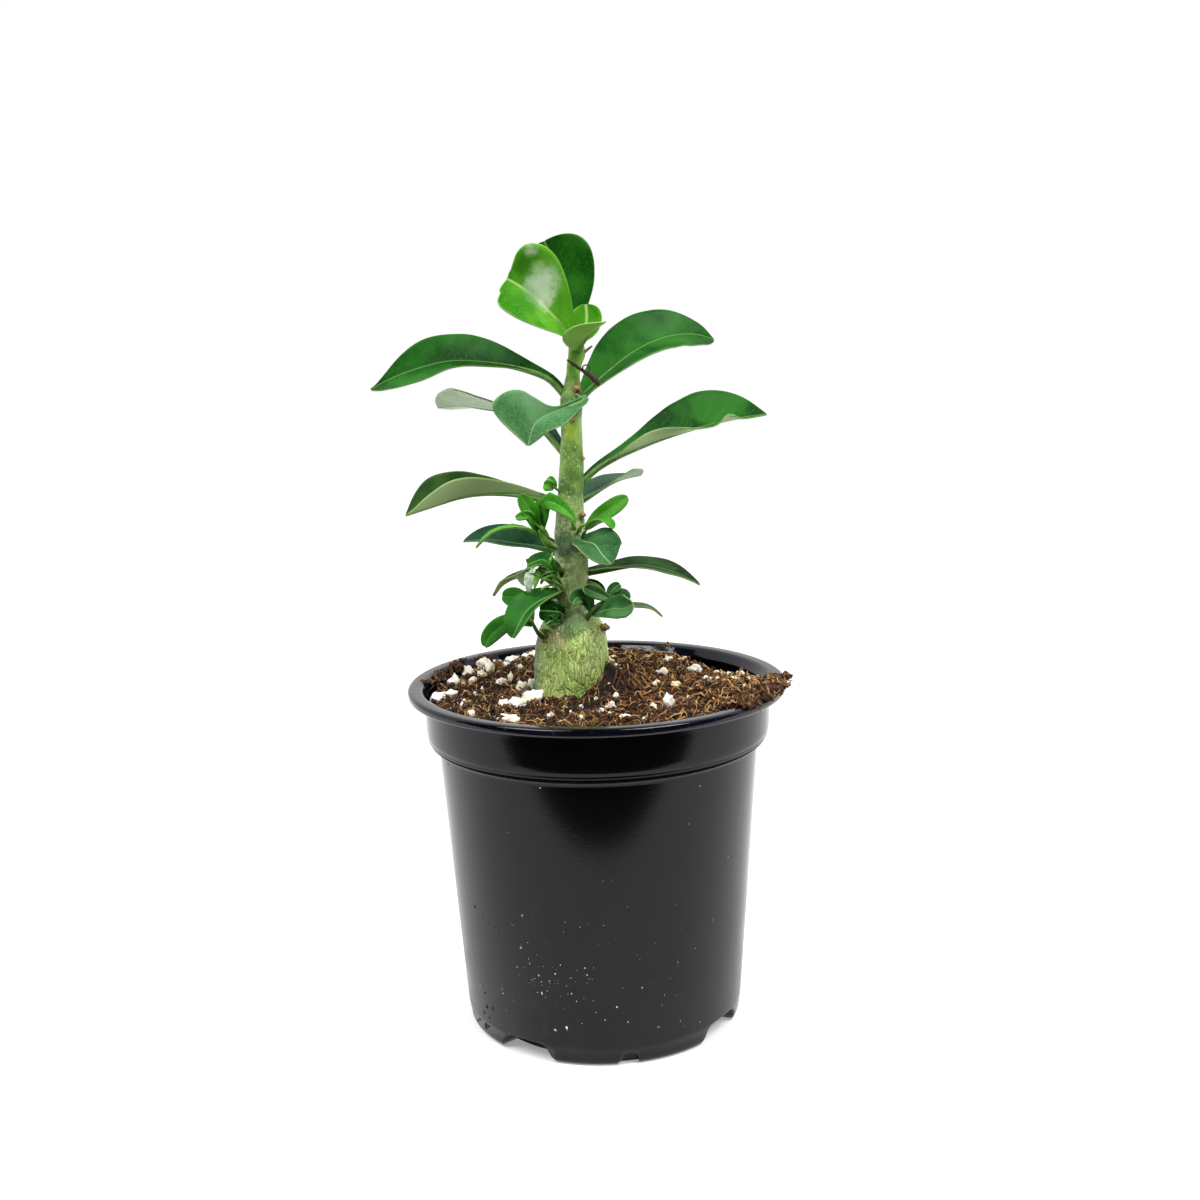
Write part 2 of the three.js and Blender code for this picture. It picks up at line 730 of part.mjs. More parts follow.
function potProfile(grow) {
  return potSection.map(([r, z, out, up]) => [r + out * grow, z + up * grow]);
}

function lathed(profile, sides) {
  const points = profile.map(([r, z]) => new THREE.Vector2(r, z));
  const geometry = new THREE.LatheGeometry(points, sides);
  geometry.rotateX(Math.PI / 2);
  return solidOf(geometry);
}

// A hole through the foot of the wall and the edge of the floor, with an arched top.
function notchCutter({ width, height, depth }, turn) {
  const outline = new THREE.Shape();
  const arch = Math.min(width / 2, height * 0.8);
  outline.moveTo(-width / 2, -2);
  outline.lineTo(width / 2, -2);
  outline.lineTo(width / 2, height - arch);
  outline.quadraticCurveTo(width / 2, height, width / 2 - arch, height);
  outline.lineTo(arch - width / 2, height);
  outline.quadraticCurveTo(-width / 2, height, -width / 2, height - arch);
  const cutter = new THREE.ExtrudeGeometry(outline, {
    depth: depth + 4, bevelEnabled: false, curveSegments: 3,
  });
  cutter.rotateX(Math.PI / 2);
  cutter.translate(0, -(footRadius - depth), 0);
  cutter.rotateZ(toRadians(turn));
  return solidOf(cutter);
}

// A cone with its point down.
function smallFoot(turn) {
  const cone = new THREE.ConeGeometry(feet.width / 2, feet.drop + feet.root, 6);
  cone.rotateX(-Math.PI / 2);
  cone.translate(feet.radius, 0, (feet.root - feet.drop) / 2);
  cone.rotateZ(toRadians(turn));
  return solidOf(cone);
}

function potSolid() {
  const cutters = [];
  for (let k = 0; k < notchCount; k += 1) {
    cutters.push(notchCutter(wideNotch, wideNotch.turn + (360 * k) / notchCount));
    cutters.push(notchCutter(smallNotch, smallNotch.turn + (360 * k) / notchCount));
  }
  const body = lathed(potProfile(0), potSides).subtract(joined(cutters));
  return joined([body, ...feet.turns.map(smallFoot)]);
}

// Soil

// The soil's level falls and rises in broad humps.
const humps = [
  { x: 14, y: 30, rise: 1.8, spread: 18 },
  { x: 40, y: 30, rise: -3.5, spread: 13 },
  { x: 44, y: -12, rise: 3.0, spread: 12 },
  { x: -42, y: 4, rise: -0.8, spread: 14 },
];

// A steep bank of soil against the right side of the stem.
const bank = { x: 6, y: -4.5, rise: 9, spread: 6.5 };
const rippleHeight = 0.35;

function soilHeight(x, y) {
  const level = humps.reduce((sum, h) => {
    const away = ((x - h.x) ** 2 + (y - h.y) ** 2) / (2 * h.spread ** 2);
    return sum + h.rise * Math.exp(-away);
  }, soilLevel);
  const fromBank = Math.hypot(x - bank.x, y - bank.y) / bank.spread;
  const ripple = rippleHeight * Math.sin(0.55 * x + 1) * Math.cos(0.5 * y);
  return level + ripple + bank.rise / (1 + fromBank ** 4);
}

// Bare soil: a skin of rings from the foot up the wall, then inwards over the top.
function soilBody() {
  const ring = (radius, heightAt) => {
    const points = [];
    for (let k = 0; k < soilSectors; k += 1) {
      const angle = (2 * Math.PI * k) / soilSectors;
      const x = radius * Math.cos(angle);
      const y = radius * Math.sin(angle);
      points.push(new THREE.Vector3(x, y, heightAt(x, y)));
    }
    return points;
  };
  const rings = [];
  const wallInset = potWall + 1.5 * gap;
  const topRadius = bandRadius - wallInset;
  rings.push(ring(bodyFootRadius - wallInset, () => soilFloor));
  rings.push(ring(bodyTopRadius - wallInset, () => stepHeight + 0.6));
  rings.push(ring(topRadius, () => bandFoot + 1.3));
  for (let r = 0; r < soilRings; r += 1) {
    rings.push(ring(topRadius * (1 - r / soilRings), soilHeight));
  }
  return skin(rings);
}

function soilSolid() {
  const random = randomFrom(soilSeed);
  const lumps = [];
  const reach = rimInnerRadius - 3.5;
  for (let i = 0; i < crumbCount; i += 1) {
    const angle = 2 * Math.PI * random();
    const radius = reach * Math.sqrt(random());
    const x = radius * Math.cos(angle);
    const y = radius * Math.sin(angle);
    const size = crumbSize.least + crumbSize.spread * random() ** 2;
    lumps.push(lump([x, y, soilHeight(x, y) + 0.2 * size], size, random));
  }
  // Clods heaped against the rim at the right.
  for (let i = 0; i < heapCount; i += 1) {
    const angle = toRadians(clodPlace.turn + clodPlace.sweep * random());
    const radius = clodPlace.radius + clodPlace.depth * random();
    const x = radius * Math.cos(angle);
    const y = radius * Math.sin(angle);
    const size = clodSize.least + clodSize.spread * random();
    lumps.push(lump([x, y, soilHeight(x, y) + 0.2 * size], size, random));
  }
  const clearOfPot = joined(lumps).subtract(lathed(potProfile(gap), potSides));
  return largestOf(soilBody().add(clearOfPot).subtract(stemClearance));
}

const group = new THREE.Group();

function addNode(name, solid, finish) {
  const mesh = new THREE.Mesh(geometryOf(solid), finish);
  mesh.name = name;
  group.add(mesh);
}

addNode('pot', potSolid(), finishes.pot);
addNode('soil', soilSolid(), finishes.soil);
addNode('stem', stem, finishes.stem);
const twig = bar(dryTwig.points, dryTwig.start, dryTwig.end, 6, 6);
addNode('dry_twig', largestOf(twig.subtract(stemClearance)), finishes.twig);
Object.entries(leaves).forEach(([name, leaf]) => {
  addNode(name, largestOf(blade(leaf).subtract(stemClearance)), finishes.leaf);
});
Object.entries(shoots).forEach(([name, grown]) => {
  addNode(name, largestOf(shoot(grown).subtract(stemClearance)), finishes.young);
});

export default group;
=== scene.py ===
"""A potted desert rose: its looks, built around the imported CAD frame.

Lengths are in millimetres until a mesh is finished, and then in metres.
The camera looks along +Y, +X is to the right and +Z is up.
Tones are red, green and blue from 0 to 255, as they look on the screen.
"""

import math
import random

import bmesh
import bpy
from mathutils import Matrix, Vector, noise


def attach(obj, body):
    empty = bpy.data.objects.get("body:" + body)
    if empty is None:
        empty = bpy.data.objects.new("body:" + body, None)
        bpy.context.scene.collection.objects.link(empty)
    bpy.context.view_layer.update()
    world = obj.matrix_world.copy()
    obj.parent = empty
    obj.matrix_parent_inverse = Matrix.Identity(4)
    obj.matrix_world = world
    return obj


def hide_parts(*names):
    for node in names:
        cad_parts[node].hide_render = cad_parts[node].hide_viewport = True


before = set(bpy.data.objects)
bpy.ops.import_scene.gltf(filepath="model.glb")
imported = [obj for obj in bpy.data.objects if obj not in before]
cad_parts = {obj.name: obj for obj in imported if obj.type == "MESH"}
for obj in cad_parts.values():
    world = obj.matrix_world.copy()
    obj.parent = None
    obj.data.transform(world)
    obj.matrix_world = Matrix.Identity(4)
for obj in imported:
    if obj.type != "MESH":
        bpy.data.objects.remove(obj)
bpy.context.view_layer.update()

MM = 0.001

# Camera: its place, how far it looks down, how far it is rolled, and its focal length in pixels.
IMAGE_SIZE = 1200
FOCAL_PIXELS = 1495.4
SENSOR = 36
CAMERA_DISTANCE = 450
CAMERA_PITCH = math.radians(10.56)
CAMERA_ROLL = math.radians(-1.46)
CAMERA_SIDE = 1.58
TARGET_HEIGHT = 129.17

# Pot: the outline of its wall, radius and height, from the middle of the foot up and over the rim.
POT_OUTLINE = [
    (0, 0), (38, 0), (41.0, 0), (41.6, 0.3), (42.0, 0.9), (42.2, 1.8), (42.42, 4.4), (42.62, 4.75),
    (42.75, 6), (45.3, 42), (48.2, 82), (48.46, 85.7), (48.5, 86.2), (48.75, 86.9), (49.4, 87.3),
    (50.3, 87.6), (51.1, 88.2), (51.5, 88.9), (51.7, 89.5), (51.62, 89.75), (51.78, 90.0), (51.95, 91.0),
    (52.05, 92.5), (52.2, 99), (52.27, 100.9), (52.3, 101.3), (52.6, 102.0), (53.2, 102.2), (56.2, 102.15),
    (56.7, 102.2), (57.0, 102.45), (57.15, 102.9), (57.15, 103.8), (57.05, 104.2), (56.8, 104.5),
    (56.4, 104.68), (55.8, 104.7), (54.2, 104.66), (53.4, 104.6), (52.8, 104.35), (52.4, 103.8),
    (51.7, 102.6), (51.2, 101.9), (51.0, 101.0), (51.0, 90.2), (50.4, 89.0), (47.6, 87.2),
    (47.4, 86.0), (41.8, 7.9), (41.2, 7.2), (0, 7.2),
]
POT_STEPS = 160
POT_HEIGHT = 104.7
LIP_INNER = 51.3
LIP_BOTTOM = 102.1
INSIDE_BOTTOM = 87.5
FEET = {"turns": (38, 165, 290), "radius": 38.5, "width": 4.8, "drop": 0.3}

# The wall between the foot and the band: its radius at nought height, and how fast it widens.
WALL_START = 42.32
WALL_SLOPE = 0.0717

# Drain notches round the foot: their outline is the turn in degrees from the middle and the height.
NOTCH_COUNT = 4
NOTCH_OUTER = 46
NOTCH_BOTTOM = -2
WIDE_NOTCH = {"turn": 56, "inner": 35.6, "outline": [
    (-15.5, -1), (-14, 0.2), (-12, 1.6), (-10.3, 3.9), (-8.7, 5.2), (-6.5, 5.6), (0, 5.7), (6.5, 5.6),
    (8.7, 5.2), (10.3, 3.9), (12, 1.6), (14, 0.2), (15.5, -1),
]}
SMALL_NOTCH = {"turn": 10, "inner": 39.6, "outline": [
    (-6.5, -0.5), (-5, 0.9), (-3.4, 1.8), (-2.6, 2.9), (-1.4, 3.5), (0, 3.65), (1.4, 3.4), (2.5, 2.6),
    (3.1, 1.4), (3.5, -0.5),
]}

# Specks of dry soil and grit on the wall: their place in the photograph and their size in pixels.
PALE_SPECKS = [
    (713, 743, 2.2), (540, 788, 2.0), (579, 771, 1.8), (564, 772, 1.6), (638, 758, 2.2), (508, 833, 1.6),
    (713, 920, 2.4), (603, 881, 1.4), (612, 881, 1.4), (512, 925, 1.8), (521, 948, 2.6), (678, 962, 2.2),
    (689, 824, 2.2), (700, 786, 2.0), (728, 857, 1.4), (542, 993, 3.0), (517, 967, 1.6), (571, 978, 2.0),
    (587, 975, 2.4), (585, 968, 2.0), (642, 988, 1.8), (617, 1007, 2.0), (567, 1028, 3.0), (448, 764, 2.0),
    (555, 1030, 2.2), (628, 1022, 1.8), (658, 1027, 2.0), (662, 1005, 2.0), (605, 1020, 1.4),
]
DARK_SPECKS = [
    (475, 907, 4), (485, 993, 4), (487, 1006, 5), (484, 1012, 4), (493, 1008, 3), (490, 1018, 4),
    (574, 992, 3), (478, 1020, 4), (486, 1026, 5), (622, 1023, 3), (483, 918, 2), (489, 922, 2),
    (495, 927, 2), (499, 931, 2),
]
SPECK_PIXELS_PER_MM = 3.6
FOOT_PIXEL = 1034

# Small pale specks strewn by chance. The close scatter has its middle and spread in pixels, and
# the wide one its bounds.
CLOSE_SCATTER = {"px": (548, 30), "py": (985, 18), "size": (0.5, 1.4)}
WIDE_SCATTER = {"px": (500, 700), "py": (900, 1030), "size": (0.4, 1.1)}
SCATTER_COUNT = 60

# Soil: its level, its broad humps, the steep bank against the right side of the stem, two deep
# holes beside the stem and a shallow one, the heap that lies over the rim at the right, the crumbs
# along the left edge, and a tuft of fibres on the rim at the back.
SOIL_LEVEL = 101.3
SOIL_RADIUS = 50.4
SOIL_SIDES = [(50.2, 90.6), (46.6, 87.4), (41.3, 7.6)]
SOIL_GRID = 190
HUMPS = [
    {"x": 14, "y": 30, "rise": 1.8, "spread": 18},
    {"x": 40, "y": 30, "rise": -3.5, "spread": 13},
    {"x": 44, "y": -12, "rise": 3.0, "spread": 12},
    {"x": -42, "y": 4, "rise": -0.8, "spread": 14},
]
BANK = {"x": 6, "y": -4.5, "rise": 9, "spread": 6.5}
DEEP_HOLES = [
    {"x": 6.4, "y": -4, "depth": 3.5, "spread": 1.8},
    {"x": 4.6, "y": -8.5, "depth": 2.5, "spread": 1.5},
]
HOLES = [*DEEP_HOLES, {"x": 31, "y": -22, "depth": 1.6, "spread": 3}]
HEAP = {"turn": -23, "half_turn": 20, "radius": 53.4, "half_width": 4.8, "rise": 1.9}
LEFT_EDGE = {"turns": (130, 176), "reach": (49, 55)}
TUFT = {"x": 24, "y": 47.4, "spread_x": 1.5, "spread_y": 0.8}
HEAP_CRUMBS = 190
LEFT_CRUMBS = 60
BED_CRUMBS = 510
HEAP_FIBRES = 100
TUFT_FIBRES = 10
SMALL_GRIT = 170

# Strands of fibre: COIR and HAIRS give how many, the seed, the length, the radius, the lift and
# the tones from the darkest strand to the palest. The count is a power of two.
STRAND_STEPS = 6
COIR = {"count": 4096, "seed": 11, "length": 3.8, "radius": 0.18, "lift": 1.2,
        "tones": [(0.0, (26, 13, 6)), (0.32, (82, 49, 22)), (0.62, (156, 106, 54)), (1.0, (232, 188, 122))]}
HAIRS = {"count": 512, "seed": 23, "length": 6.5, "radius": 0.3, "lift": 1.5,
         "tones": [(0.0, (78, 45, 21)), (0.5, (150, 98, 48)), (1.0, (218, 172, 106))]}

# White and cream grit that shows: its place in the photograph and its width and height there, in pixels.
GRIT = [
    (455, 683, 14, 13), (452, 694, 15, 8), (439, 698, 14, 11), (480, 665, 14, 11), (468, 673, 12, 12),
    (490, 668, 8, 12), (482, 674, 8, 7), (465, 664, 6, 6), (475, 659, 9, 7), (493, 654, 13, 8),
    (515, 654, 12, 7), (529, 654, 11, 9), (506, 665, 6, 6), (520, 668, 8, 6), (501, 682, 11, 7),
    (511, 678, 5, 11), (523, 688, 12, 11), (532, 685, 7, 12), (533, 697, 20, 12), (519, 703, 18, 10),
    (504, 704, 10, 9), (472, 714, 8, 7), (509, 718, 19, 8), (551, 716, 6, 7), (581, 718, 6, 6),
    (581, 706, 4, 4), (571, 712, 3, 3), (473, 680, 6, 5), (482, 690, 3, 5), (475, 694, 4, 4),
    (464, 701, 5, 4), (475, 706, 3, 3), (611, 645, 8, 7), (612, 659, 7, 6), (610, 663, 9, 7),
    (668, 659, 12, 5), (683, 660, 10, 5), (661, 673, 12, 8), (694, 670, 13, 11), (676, 686, 13, 8),
    (668, 701, 10, 14), (652, 709, 8, 9), (624, 718, 9, 7), (644, 719, 5, 4), (708, 680, 10, 6),
    (728, 675, 9, 6), (735, 680, 12, 7), (740, 674, 9, 6), (751, 680, 9, 6), (654, 685, 7, 5),
    (657, 682, 6, 4), (612, 705, 7, 7), (616, 695, 5, 4), (601, 710, 5, 4), (609, 714, 4, 4),
    (744, 688, 3, 5), (726, 673, 6, 4), (718, 672, 6, 4), (596, 699, 4, 4), (563, 708, 4, 3),
]

# Stem: height, sideways place and thickness, from the root to the growing tip.
STEM = [
    (71, -8.6, 3), (74, -8.6, 8), (82, -8.6, 15), (92, -8.6, 19), (101.5, -8.4, 20.9),
    (108, -7.6, 22.3), (114, -7.1, 22.1), (118.5, -7.0, 20.8), (121.7, -6.9, 18.6),
    (124.5, -7.0, 15.2), (127.5, -7.2, 12.4), (132.5, -7.4, 11.1), (141.6, -6.8, 10.2),
    (149, -6.8, 9.4), (156.6, -6.7, 8.2), (167.9, -5.8, 7.3), (176, -5.5, 6.6), (183, -5.4, 6.3),
    (189.5, -5.4, 6.4), (193.5, -5.0, 4.7), (196.5, -4.8, 4.0), (199.5, -4.2, 4.4),
    (202, -3.5, 5.0), (205, -3.4, 4.4), (208.5, -3.3, 3.4),
]
STEM_AROUND = 150
STEM_ALONG = 230
STEM_ROWS = [(0, 71), (0.1, 95), (0.55, 124), (1, 208.5)]
STEM_BULGE = 0.03
STEM_TWIST = 0.7
CAUDEX_TOP = 123
CAUDEX_SIDE = -8.2
CAUDEX_RADIUS = 10.9

# Patches of another tone on the stem and on two leaves: place, radius, tone and how strongly it covers.
# Among them are painted shadows, painted light and painted highlights.
# On the stem, the dark green patches about 121 to 125 mm and 146 mm high are painted shadows cast by the
# leaves above.
# The three pale patches 133 to 141 mm high are painted light on the lit right side; the others are cream,
# yellow-green, brown, olive and bright green patches.
STEM_PATCHES_AND_PAINTED_LIGHT = [
    ((-11.7, -10, 120.2), 3.4, (226, 214, 158), 0.7), ((-5.4, -8.8, 124.6), 4.2, (62, 102, 62), 0.7),
    ((-8.2, -10, 121.4), 2.4, (62, 102, 62), 0.65), ((-5.9, -3.5, 179.7), 2.2, (170, 190, 60), 0.6),
    ((-3.2, -3.3, 193.3), 1.6, (120, 92, 56), 0.7), ((-8.6, -4.8, 146.5), 4.2, (52, 80, 52), 0.85),
    ((-5.3, -8, 127.8), 1.6, (214, 206, 160), 0.7), ((-8.5, -5, 133), 2.2, (96, 130, 40), 0.6),
    ((-3.6, -3.8, 136.7), 3.2, (220, 246, 160), 0.55), ((-4.9, -4.9, 132.7), 2.6, (222, 246, 166), 0.5),
    ((-4.1, -4, 141.2), 2.2, (210, 230, 150), 0.5), ((-4.4, -2.2, 199.5), 4.0, (126, 196, 62), 0.65),
    ((-6.3, -3, 186), 2.4, (112, 176, 60), 0.45),
]
# On the tip leaf, the whitish and pale green patches are painted highlights, and the darker green ones
# deepen parts of the blade.
APEX_PAINTED_HIGHLIGHTS_AND_GREEN_PATCHES = [
    ((-12.3, -9, 222.0), 4.9, (210, 228, 196), 0.8), ((-11.0, -8, 217.5), 2.6, (214, 228, 196), 0.8),
    ((-15.6, -11, 232.3), 2.0, (206, 224, 190), 0.75), ((-13.2, -9.5, 226.8), 2.0, (150, 196, 120), 0.6),
    ((-22.6, -12.2, 214.2), 1.5, (206, 222, 180), 0.8), ((-20.4, -11.2, 212.4), 1.3, (206, 222, 180), 0.8),
    ((-18.3, -11, 227.5), 2.6, (28, 96, 16), 0.55), ((-22.8, -12.5, 218.6), 1.8, (34, 104, 18), 0.5),
    ((-17.0, -11, 217.5), 3.6, (44, 128, 14), 0.6),
]
# On the front leaf, all four patches are painted highlights on its left lobe.
FRONT_PAINTED_HIGHLIGHTS = [
    ((-23.7, -20, 187.2), 1.5, (176, 206, 178), 0.6), ((-21.8, -21, 183.6), 1.1, (190, 216, 190), 0.6),
    ((-18.1, -19, 190.4), 2.6, (120, 164, 124), 0.5), ((-25.1, -18, 190.5), 1.2, (176, 206, 178), 0.5),
]

# Scars and dried stubs on the stem: place and size.
SCARS = [
    ((-3.4, -2.6, 192.3), (2.6, 1.4, 2.4)), ((-9.4, -4.4, 139.5), (2.2, 1.6, 1.8)),
    ((-2.8, -3.4, 155.5), (1.6, 1.4, 1.4)), ((-2.6, -1.5, 172), (1.5, 1.6, 1.3)),
    ((2.9, -3.2, 121.5), (2.4, 2.2, 2.2)), ((-14.2, -5.7, 118.5), (3.2, 2.4, 2.6)),
    ((-5.4, -3.6, 183.5), (1.4, 0.9, 1.2)),
]

# Small sprouts on the stem: base and tip in the photograph, width there in pixels, and how far
# the base and the tip lie behind the pot's axis.
SPROUTS = [
    ((561, 584), (551, 573), 3.5, -4.5, -7.5), ((563, 590), (552, 580), 3.0, -5, -8),
    ((562, 578), (556, 560), 3.5, -4.5, -6.5), ((556, 584), (539, 579), 4.0, -4, -7.5),
    ((553, 585), (539, 591), 3.5, -4, -7.5), ((556, 572), (542, 575), 3.0, -4, -6.5),
    ((540, 567), (534, 590), 4.5, -4.5, -5.5), ((553, 552), (549, 567), 2.5, -3, -5),
    ((560, 602), (554, 591), 3.5, -5, -8), ((562, 608), (556, 598), 3.0, -6, -8.5),
    ((556, 630), (543, 622), 4.5, -6, -10), ((552, 633), (540, 630), 4.0, -6, -10),
    ((560, 625), (550, 616), 4.5, -6, -10.5), ((549, 637), (538, 628), 3.5, -6, -10),
    ((577, 534), (585, 524), 4.0, -4, -6.5), ((575, 531), (571, 521), 3.0, -4, -6),
    ((582, 537), (589, 529), 3.0, -3.5, -5.5), ((549, 548), (538, 531), 4.5, -3, -5),
    ((549, 541), (541, 525), 3.5, -3, -4.5), ((548, 537), (533, 522), 3.5, -2.5, -4.5),
    ((559, 596), (548, 599), 3.0, -5, -8), ((561, 614), (553, 607), 3.0, -6, -9),
]
SPROUT_PIXELS_PER_MM = 4.8
PALE_LEAF = [(535, 566, -9), (529, 579, -10.5), (529, 594, -10.5)]

# Tones of the leaves: deep green, light green, veins, underside and edge, and what else sets each
# look apart. leaf_deep and young are the usual looks of a large leaf and of a side shoot.
VEIN = (112, 152, 84)
EDGE = (96, 140, 70)
PALE = (176, 200, 140)
LEAF_LOOKS = {
    "leaf_deep": {"tones": [(12, 62, 14), (46, 110, 36), VEIN, PALE, EDGE], "rib_share": 0.6},
    "leaf_bright": {
        "tones": [(48, 124, 18), (96, 172, 40), (192, 216, 130), (112, 176, 64), (150, 200, 100)],
        # The tip leaf gets painted highlights and darker green patches.
        "roughness": 0.2, "painted_highlights_and_patches": APEX_PAINTED_HIGHLIGHTS_AND_GREEN_PATCHES, "rib_scale": 1.2},
    "leaf_dark": {"tones": [(16, 70, 14), (44, 110, 28), VEIN, PALE, EDGE], "mottle": 0.7},
    "leaf_grey": {
        "tones": [(58, 110, 60), (102, 152, 98), (140, 176, 130), PALE, (140, 172, 130)],
        # The front leaf gets painted highlights.
        "roughness": 0.4, "rib_scale": 0.6, "mottle": 0.8, "painted_highlights_and_patches": FRONT_PAINTED_HIGHLIGHTS},
    "leaf_folded": {
        "tones": [(34, 80, 40), (74, 122, 72), (150, 184, 140), PALE, (150, 180, 140)],
        "roughness": 0.4, "rib_scale": 0.6, "mottle": 0.8},
    "leaf_olive": {
        "tones": [(26, 60, 28), (64, 100, 44), VEIN, PALE, (170, 196, 100)], "rib_scale": 0.6},
    "leaf_shaded": {
        "tones": [(12, 42, 14), (42, 78, 28), VEIN, (96, 104, 60), (104, 134, 66)],
        "rib_scale": 0.5, "roughness": 0.55},
    "leaf_dusky": {
        "tones": [(20, 58, 34), (52, 92, 66), (120, 156, 116), (196, 212, 184), EDGE],
        "rib_scale": 0.7, "mottle": 0.8},
}
SHOOT_LOOKS = {
    "young": {
        "tones": [(18, 76, 16), (62, 138, 40), (96, 150, 60), (96, 140, 72), (84, 140, 56)],
        "roughness": 0.3, "vein_share": 0.05, "rib_scale": 0.4, "rib_share": 0.5},
    "fresh": {
        "tones": [(44, 124, 22), (92, 172, 56), (130, 186, 90), (120, 170, 80), (110, 170, 70)],
        "roughness": 0.3, "vein_share": 0.05, "rib_scale": 0.5, "rib_share": 0.5},
    "pale": {
        "tones": [(20, 76, 22), (58, 124, 44), (120, 164, 84), (216, 234, 204), (120, 164, 100)],
        "rib_scale": 0.4},
    "ribbed": {
        "tones": [(12, 58, 14), (36, 104, 30), (156, 196, 120), (96, 140, 72), (150, 190, 120)],
        "rib_scale": 0.6, "rib_share": 0.9},
    "sage": {
        "tones": [(26, 78, 30), (84, 134, 76), (130, 164, 110), (150, 176, 140), (110, 150, 90)],
        "rib_scale": 0.4},
}

# Leaves: rib is the midrib from base to tip, and face is where the upper side looks along it.
# half is the width, neck and point shape the outline, fold and curl turn the halves up in
# degrees, and each is one number or two, for the left and the right. sweep runs the shoulders
# forward and wave ripples the edge. A notch has its half (nought is the left), share of the length,
# depth and spread, and a roll has its half, share of the length, spread and degrees.
USUAL_LEAF = {"neck": 1, "point": 0.55, "fold": 12, "curl": 8, "sweep": 0.12, "wave": 0,
              "notches": [], "rolls": []}
LARGE_LEAF = {"rows": 44, "columns": 20, "stalk": 0.9}
SMALL_LEAF = {"rows": 20, "columns": 8, "stalk": 0.6}
TINY_LEAF = {"rows": 16, "columns": 6, "stalk": 0.45}
BLADE_THICKNESS = 0.4
YOUNG_THICKNESS = 0.45
EDGE_WAVES = 2.5
RIB_GROOVE = 0.3

